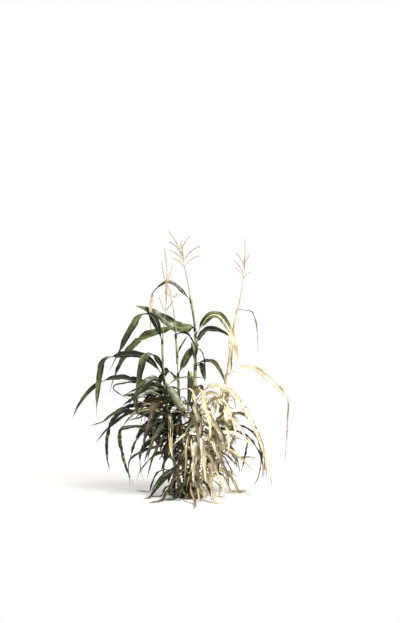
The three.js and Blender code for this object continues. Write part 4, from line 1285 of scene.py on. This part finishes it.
def plant_skin(name, dark, light, roughness, bump, streak=0.006, veins=0.003, stains=None, contrast=1.0):
    """A skin of plant fibre on the piece's own UV map, in metres across and along the fibre: streaks
    that run along it, a slow mottle, stains drawn out along the fibre, and fine parallel veins in
    the relief. The veins are 3 mm apart, a little coarser than life, so that they show."""
    skin = bpy.data.materials.new(name)
    skin.use_nodes = True
    tree = skin.node_tree
    surface = tree.nodes["Principled BSDF"]
    place = add(tree, "ShaderNodeTexCoord")
    stretched = add(tree, "ShaderNodeMapping", {
        "Vector": place.outputs["UV"], "Scale": (1 / streak, 1 / (streak * STREAK_LENGTH), 1),
    })
    streaks = noise(tree, stretched.outputs[0], 1.0, 3.0)
    mottle = noise(tree, place.outputs["Object"], MOTTLE, 3.0)
    both = add(tree, "ShaderNodeMix", {"Factor": 0.5, 2: streaks.outputs[0], 3: mottle.outputs[0]})
    spread = add(tree, "ShaderNodeMapRange", {
        "Value": both.outputs[0], "From Min": 0.5 - SPAN[0] / contrast,
        "From Max": 0.5 + SPAN[1] / contrast,
    })
    colour = blended(tree, spread.outputs[0], linear(dark), linear(light))
    if stains:
        drawn_out = add(tree, "ShaderNodeMapping", {
            "Vector": place.outputs["UV"], "Scale": (1 / STAIN[0], 1 / STAIN[1], 1),
            "Location": STAIN_PLACE,
        })
        blotch = noise(tree, drawn_out.outputs[0], 1.0, 4.0)
        edge = add(tree, "ShaderNodeMapRange", {
            "Value": blotch.outputs[0], "From Min": STAINED[0], "From Max": STAINED[1],
            "To Max": STAIN_STRENGTH,
        })
        colour = blended(tree, edge.outputs[0], colour, linear(stains))
    lines = add(tree, "ShaderNodeTexWave", {
        "Vector": place.outputs["UV"], "Scale": WAVE_BAND / veins, "Distortion": 0.6, "Detail": 1.0,
    })
    relief = add(tree, "ShaderNodeBump", {
        "Height": lines.outputs["Fac"], "Strength": bump, "Distance": RELIEF,
    })
    gloss = add(tree, "ShaderNodeMapRange", {
        "Value": streaks.outputs[0], "From Min": 0.3, "From Max": 0.7,
        "To Min": roughness[0], "To Max": roughness[1],
    })
    tree.links.new(colour, surface.inputs["Base Color"])
    tree.links.new(gloss.outputs[0], surface.inputs["Roughness"])
    tree.links.new(relief.outputs[0], surface.inputs["Normal"])
    surface.inputs["IOR"].default_value = 1.45


def skins():
    """All the finishes of the plant."""
    # a live blade: thin wax over green tissue, so it is satin on top and dull below, with its underside
    # darker as painted shade
    plant_skin("green_blade", "#1c2212", "#5f673b", (0.3, 0.45), 0.35, contrast=1.4)
    plant_skin("green_under_painted_shade", "#0a0d07", "#1e2615", (0.45, 0.6), 0.4)
    # an older blade deep in the clump: duller, with dead streaks, and darkened as painted shade for its place
    # in the clump's shade, its underside darker still
    plant_skin("deep_blade_painted_shade", "#0a0d06", "#343d20", (0.34, 0.5), 0.4, stains="#57482c", contrast=1.4)
    plant_skin("deep_under_painted_shade", "#060804", "#151a0d", (0.45, 0.6), 0.4, stains="#2c2315")
    # a blade that has begun to fade from its margins, with its underside darker as painted shade
    plant_skin("fading_blade", "#5b633e", "#93956a", (0.4, 0.55), 0.4, stains="#9c8f63")
    plant_skin("fading_under_painted_shade", "#363c23", "#5d6140", (0.5, 0.65), 0.4, stains="#6a5f3d")
    # dead dry blades: papery, dull and streaked, with the underside kept about as light as the upper side as
    # painted light against its shade
    plant_skin("straw_blade", "#94845e", "#d0c4a4", (0.55, 0.75), 0.5, stains="#5a4830", contrast=1.4)
    plant_skin("straw_under_painted_light", "#a1916a", "#d0c29b", (0.6, 0.8), 0.5, stains="#6b5531")
    # dead blades that the sun has bleached: chalky, and dull, with the underside lighter than the upper side
    # as painted light
    plant_skin("bleached_blade", "#8c8264", "#c8bfa3", (0.55, 0.75), 0.5, stains="#665840", contrast=1.4)
    plant_skin("bleached_under_painted_light", "#aca182", "#d9cfb3", (0.6, 0.8), 0.5, stains="#6c5b3a", contrast=1.3)
    # the palest ones: bleached, and lightened to nearly white as painted light, with brown stains that stand
    # out
    plant_skin("pale_blade_painted_light", "#b0a684", "#e8e0ca", (0.55, 0.75), 0.5, stains="#5c4e36", contrast=1.5)
    # blades browned by damp, with straw left in them, and an underside darker as painted shade
    plant_skin("brown_blade", "#2f2416", "#665233", (0.55, 0.75), 0.5, stains="#a48c5c")
    plant_skin("brown_under_painted_shade", "#1a130b", "#3e301d", (0.6, 0.8), 0.5, stains="#6b5734")
    # the blackest dead blades: near black with brown stains, and darker still below as painted shade
    plant_skin("dark_blade", "#16110a", "#3b2f1f", (0.5, 0.7), 0.5, stains="#6f5a3a")
    plant_skin("dark_under_painted_shade", "#0d0a06", "#241c12", (0.6, 0.8), 0.5)
    # midribs: smooth pale pith under a hard rind
    plant_skin("green_midrib", "#4e5735", "#7d8658", (0.35, 0.5), 0.2, streak=0.003)
    plant_skin("straw_midrib", "#b9a97b", "#ddd0a6", (0.45, 0.65), 0.2, streak=0.003)
    # sheaths: ribbed and close, green or dried to straw
    plant_skin("green_sheath", "#4c5733", "#8b9160", (0.4, 0.55), 0.5, streak=0.004, stains="#9a8b60")
    plant_skin("straw_sheath", "#93845d", "#d2c6a2", (0.55, 0.75), 0.6, streak=0.004, stains="#6f5a36")
    # canes: a hard glossy rind
    plant_skin("green_cane", "#5c6439", "#92965f", (0.3, 0.45), 0.2, streak=0.004)
    plant_skin("straw_cane", "#8f8058", "#c5b88f", (0.4, 0.55), 0.25, streak=0.004)
    # the root crown: weathered rind, dull and browned at ground level
    plant_skin("root_crown", "#2b2116", "#6a5539", (0.75, 0.95), 0.8, streak=0.008)
    # husks: tough paper with many fine veins, darker where still green
    plant_skin("green_husk", "#45482f", "#7c7f5e", (0.45, 0.62), 0.7, streak=0.004, veins=0.0022)
    plant_skin("husk_skin", "#8b8a64", "#c6c19c", (0.45, 0.62), 0.7, streak=0.004, veins=0.0022)
    # tassels: rough dry scales of a warm straw, with no shine
    plant_skin("tassel_straw", "#7b6438", "#b89e68", (0.65, 0.85), 0.3, streak=0.003)
    # silks: shrivelled brown threads
    plant_skin("dry_silk", "#24150d", "#4a2f1d", (0.4, 0.6), 0.2, streak=0.002)


# The floor: its sides, its radius, and where its fade into white begins and ends, in metres. The
# fade begins below nought, so that it is already under way at the plant.
FLOOR_SIDES = 96
FLOOR_RADIUS = 1.75
FADE = (-0.6, 1.65)


def ground():
    """A round pale matt floor that fades into the white of the surroundings by a white glow, which is partly
    under way at the plant and pales its shadow there as painted light.
    """
    floor = bpy.data.meshes.new("floor")
    angle = 2 * math.pi * np.arange(FLOOR_SIDES) / FLOOR_SIDES
    rim = np.stack([FLOOR_RADIUS * np.cos(angle), FLOOR_RADIUS * np.sin(angle), 0 * angle], 1)
    floor.from_pydata(rim, [], [list(range(FLOOR_SIDES))])
    skin = bpy.data.materials.new("pale_floor")
    skin.use_nodes = True
    tree = skin.node_tree
    matte = tree.nodes["Principled BSDF"]
    matte.inputs["Base Color"].default_value = linear("#cfcbc2")
    matte.inputs["Roughness"].default_value = 0.9
    place = add(tree, "ShaderNodeTexCoord")
    far = add(tree, "ShaderNodeVectorMath", {0: place.outputs["Object"]}, operation="LENGTH")
    fade = add(tree, "ShaderNodeMapRange", {
        "Value": far.outputs["Value"], "From Min": FADE[0], "From Max": FADE[1],
    }, interpolation_type="SMOOTHSTEP")
    # the glow is painted light where it is mixed in near the plant, paling the plant's shadow on the floor
    glow = add(tree, "ShaderNodeEmission", {"Color": (1, 1, 1, 1), "Strength": 1.0})
    both = add(tree, "ShaderNodeMixShader", {
        0: fade.outputs[0], 1: matte.outputs[0], 2: glow.outputs[0],
    })
    tree.links.new(both.outputs[0], tree.nodes["Material Output"].inputs["Surface"])
    floor.materials.append(skin)
    new_object("floor", floor)


# The photograph's pixels at the plant are 5.5 mm, the frame is 400 by 623 of them, and the camera
# stands 4.65 m away, level, at a height of 1.02 m
PIXEL = 0.0055
FRAME_HEIGHT = 623
CAMERA = (0.055, -4.65, 1.02)
SENSOR = 36


def camera():
    """A level camera at the photograph's place, with the same picture height."""
    lens = bpy.data.cameras.new("camera")
    lens.sensor_fit = "VERTICAL"
    lens.sensor_height = SENSOR
    lens.lens = -CAMERA[1] / PIXEL / FRAME_HEIGHT * SENSOR
    holder = new_object("camera", lens)
    holder.location = CAMERA
    holder.rotation_euler = (math.radians(90), 0, 0)
    bpy.context.scene.camera = holder


def softbox(name, place, size, power, aim):
    """A round softbox at a place, turned to what it lights."""
    lamp = bpy.data.lights.new(name, "AREA")
    lamp.shape = "DISK"
    lamp.size = size
    lamp.energy = power
    holder = new_object(name, lamp)
    holder.location = place
    towards = np.array(aim) - np.array(place)
    yaw = math.atan2(towards[1], towards[0])
    pitch = math.atan2(towards[2], math.hypot(towards[0], towards[1]))
    holder.rotation_euler = (math.radians(90) + pitch, 0, yaw - math.radians(90))


# What the softboxes light, and the share of the white room's light that falls on the plant
MID_PLANT = (0, 0, 0.6)
FOOT_OF_PLANT = (0.1, 0, 0.3)
ROOM_LIGHT = 0.24


def surroundings():
    """A white room that gives a weak even light, with a strong softbox high at the front right, a
    weaker one behind and a faint one low in front."""
    world = bpy.data.worlds.new("white_room")
    world.use_nodes = True
    tree = world.node_tree
    seen = tree.nodes["Background"]
    seen.inputs["Color"].default_value = (1, 1, 1, 1)
    seen.inputs["Strength"].default_value = 1.0
    given = add(tree, "ShaderNodeBackground", {"Color": (1, 1, 1, 1), "Strength": ROOM_LIGHT})
    path = add(tree, "ShaderNodeLightPath")
    both = add(tree, "ShaderNodeMixShader", {
        0: path.outputs["Is Camera Ray"], 1: given.outputs[0], 2: seen.outputs[0],
    })
    tree.links.new(both.outputs[0], tree.nodes["World Output"].inputs["Surface"])
    bpy.context.scene.world = world
    bpy.context.scene.view_settings.view_transform = "Standard"
    softbox("key", (2.2, -2.7, 4.3), 1.6, 720, MID_PLANT)
    softbox("back", (-2.4, 2.6, 3.0), 1.4, 130, MID_PLANT)
    softbox("front", (0.9, -4.2, 0.5), 1.0, 16, FOOT_OF_PLANT)


camera()
surroundings()
ground()
skins()
ENTRIES = stacked()
cane_pieces(ENTRIES)
for order, (node, leaves, low, top) in enumerate(ENTRIES):
    leaf_piece(order, node, leaves, low, top)
SPIKELETS = spikelet_tree()
for name, sizes in TASSELS.items():
    tassel_piece(name, sizes, SPIKELETS)
for order, (name, sizes) in enumerate(EARS.items()):
    ear_piece(order, name, sizes)
old_leaf_pieces()
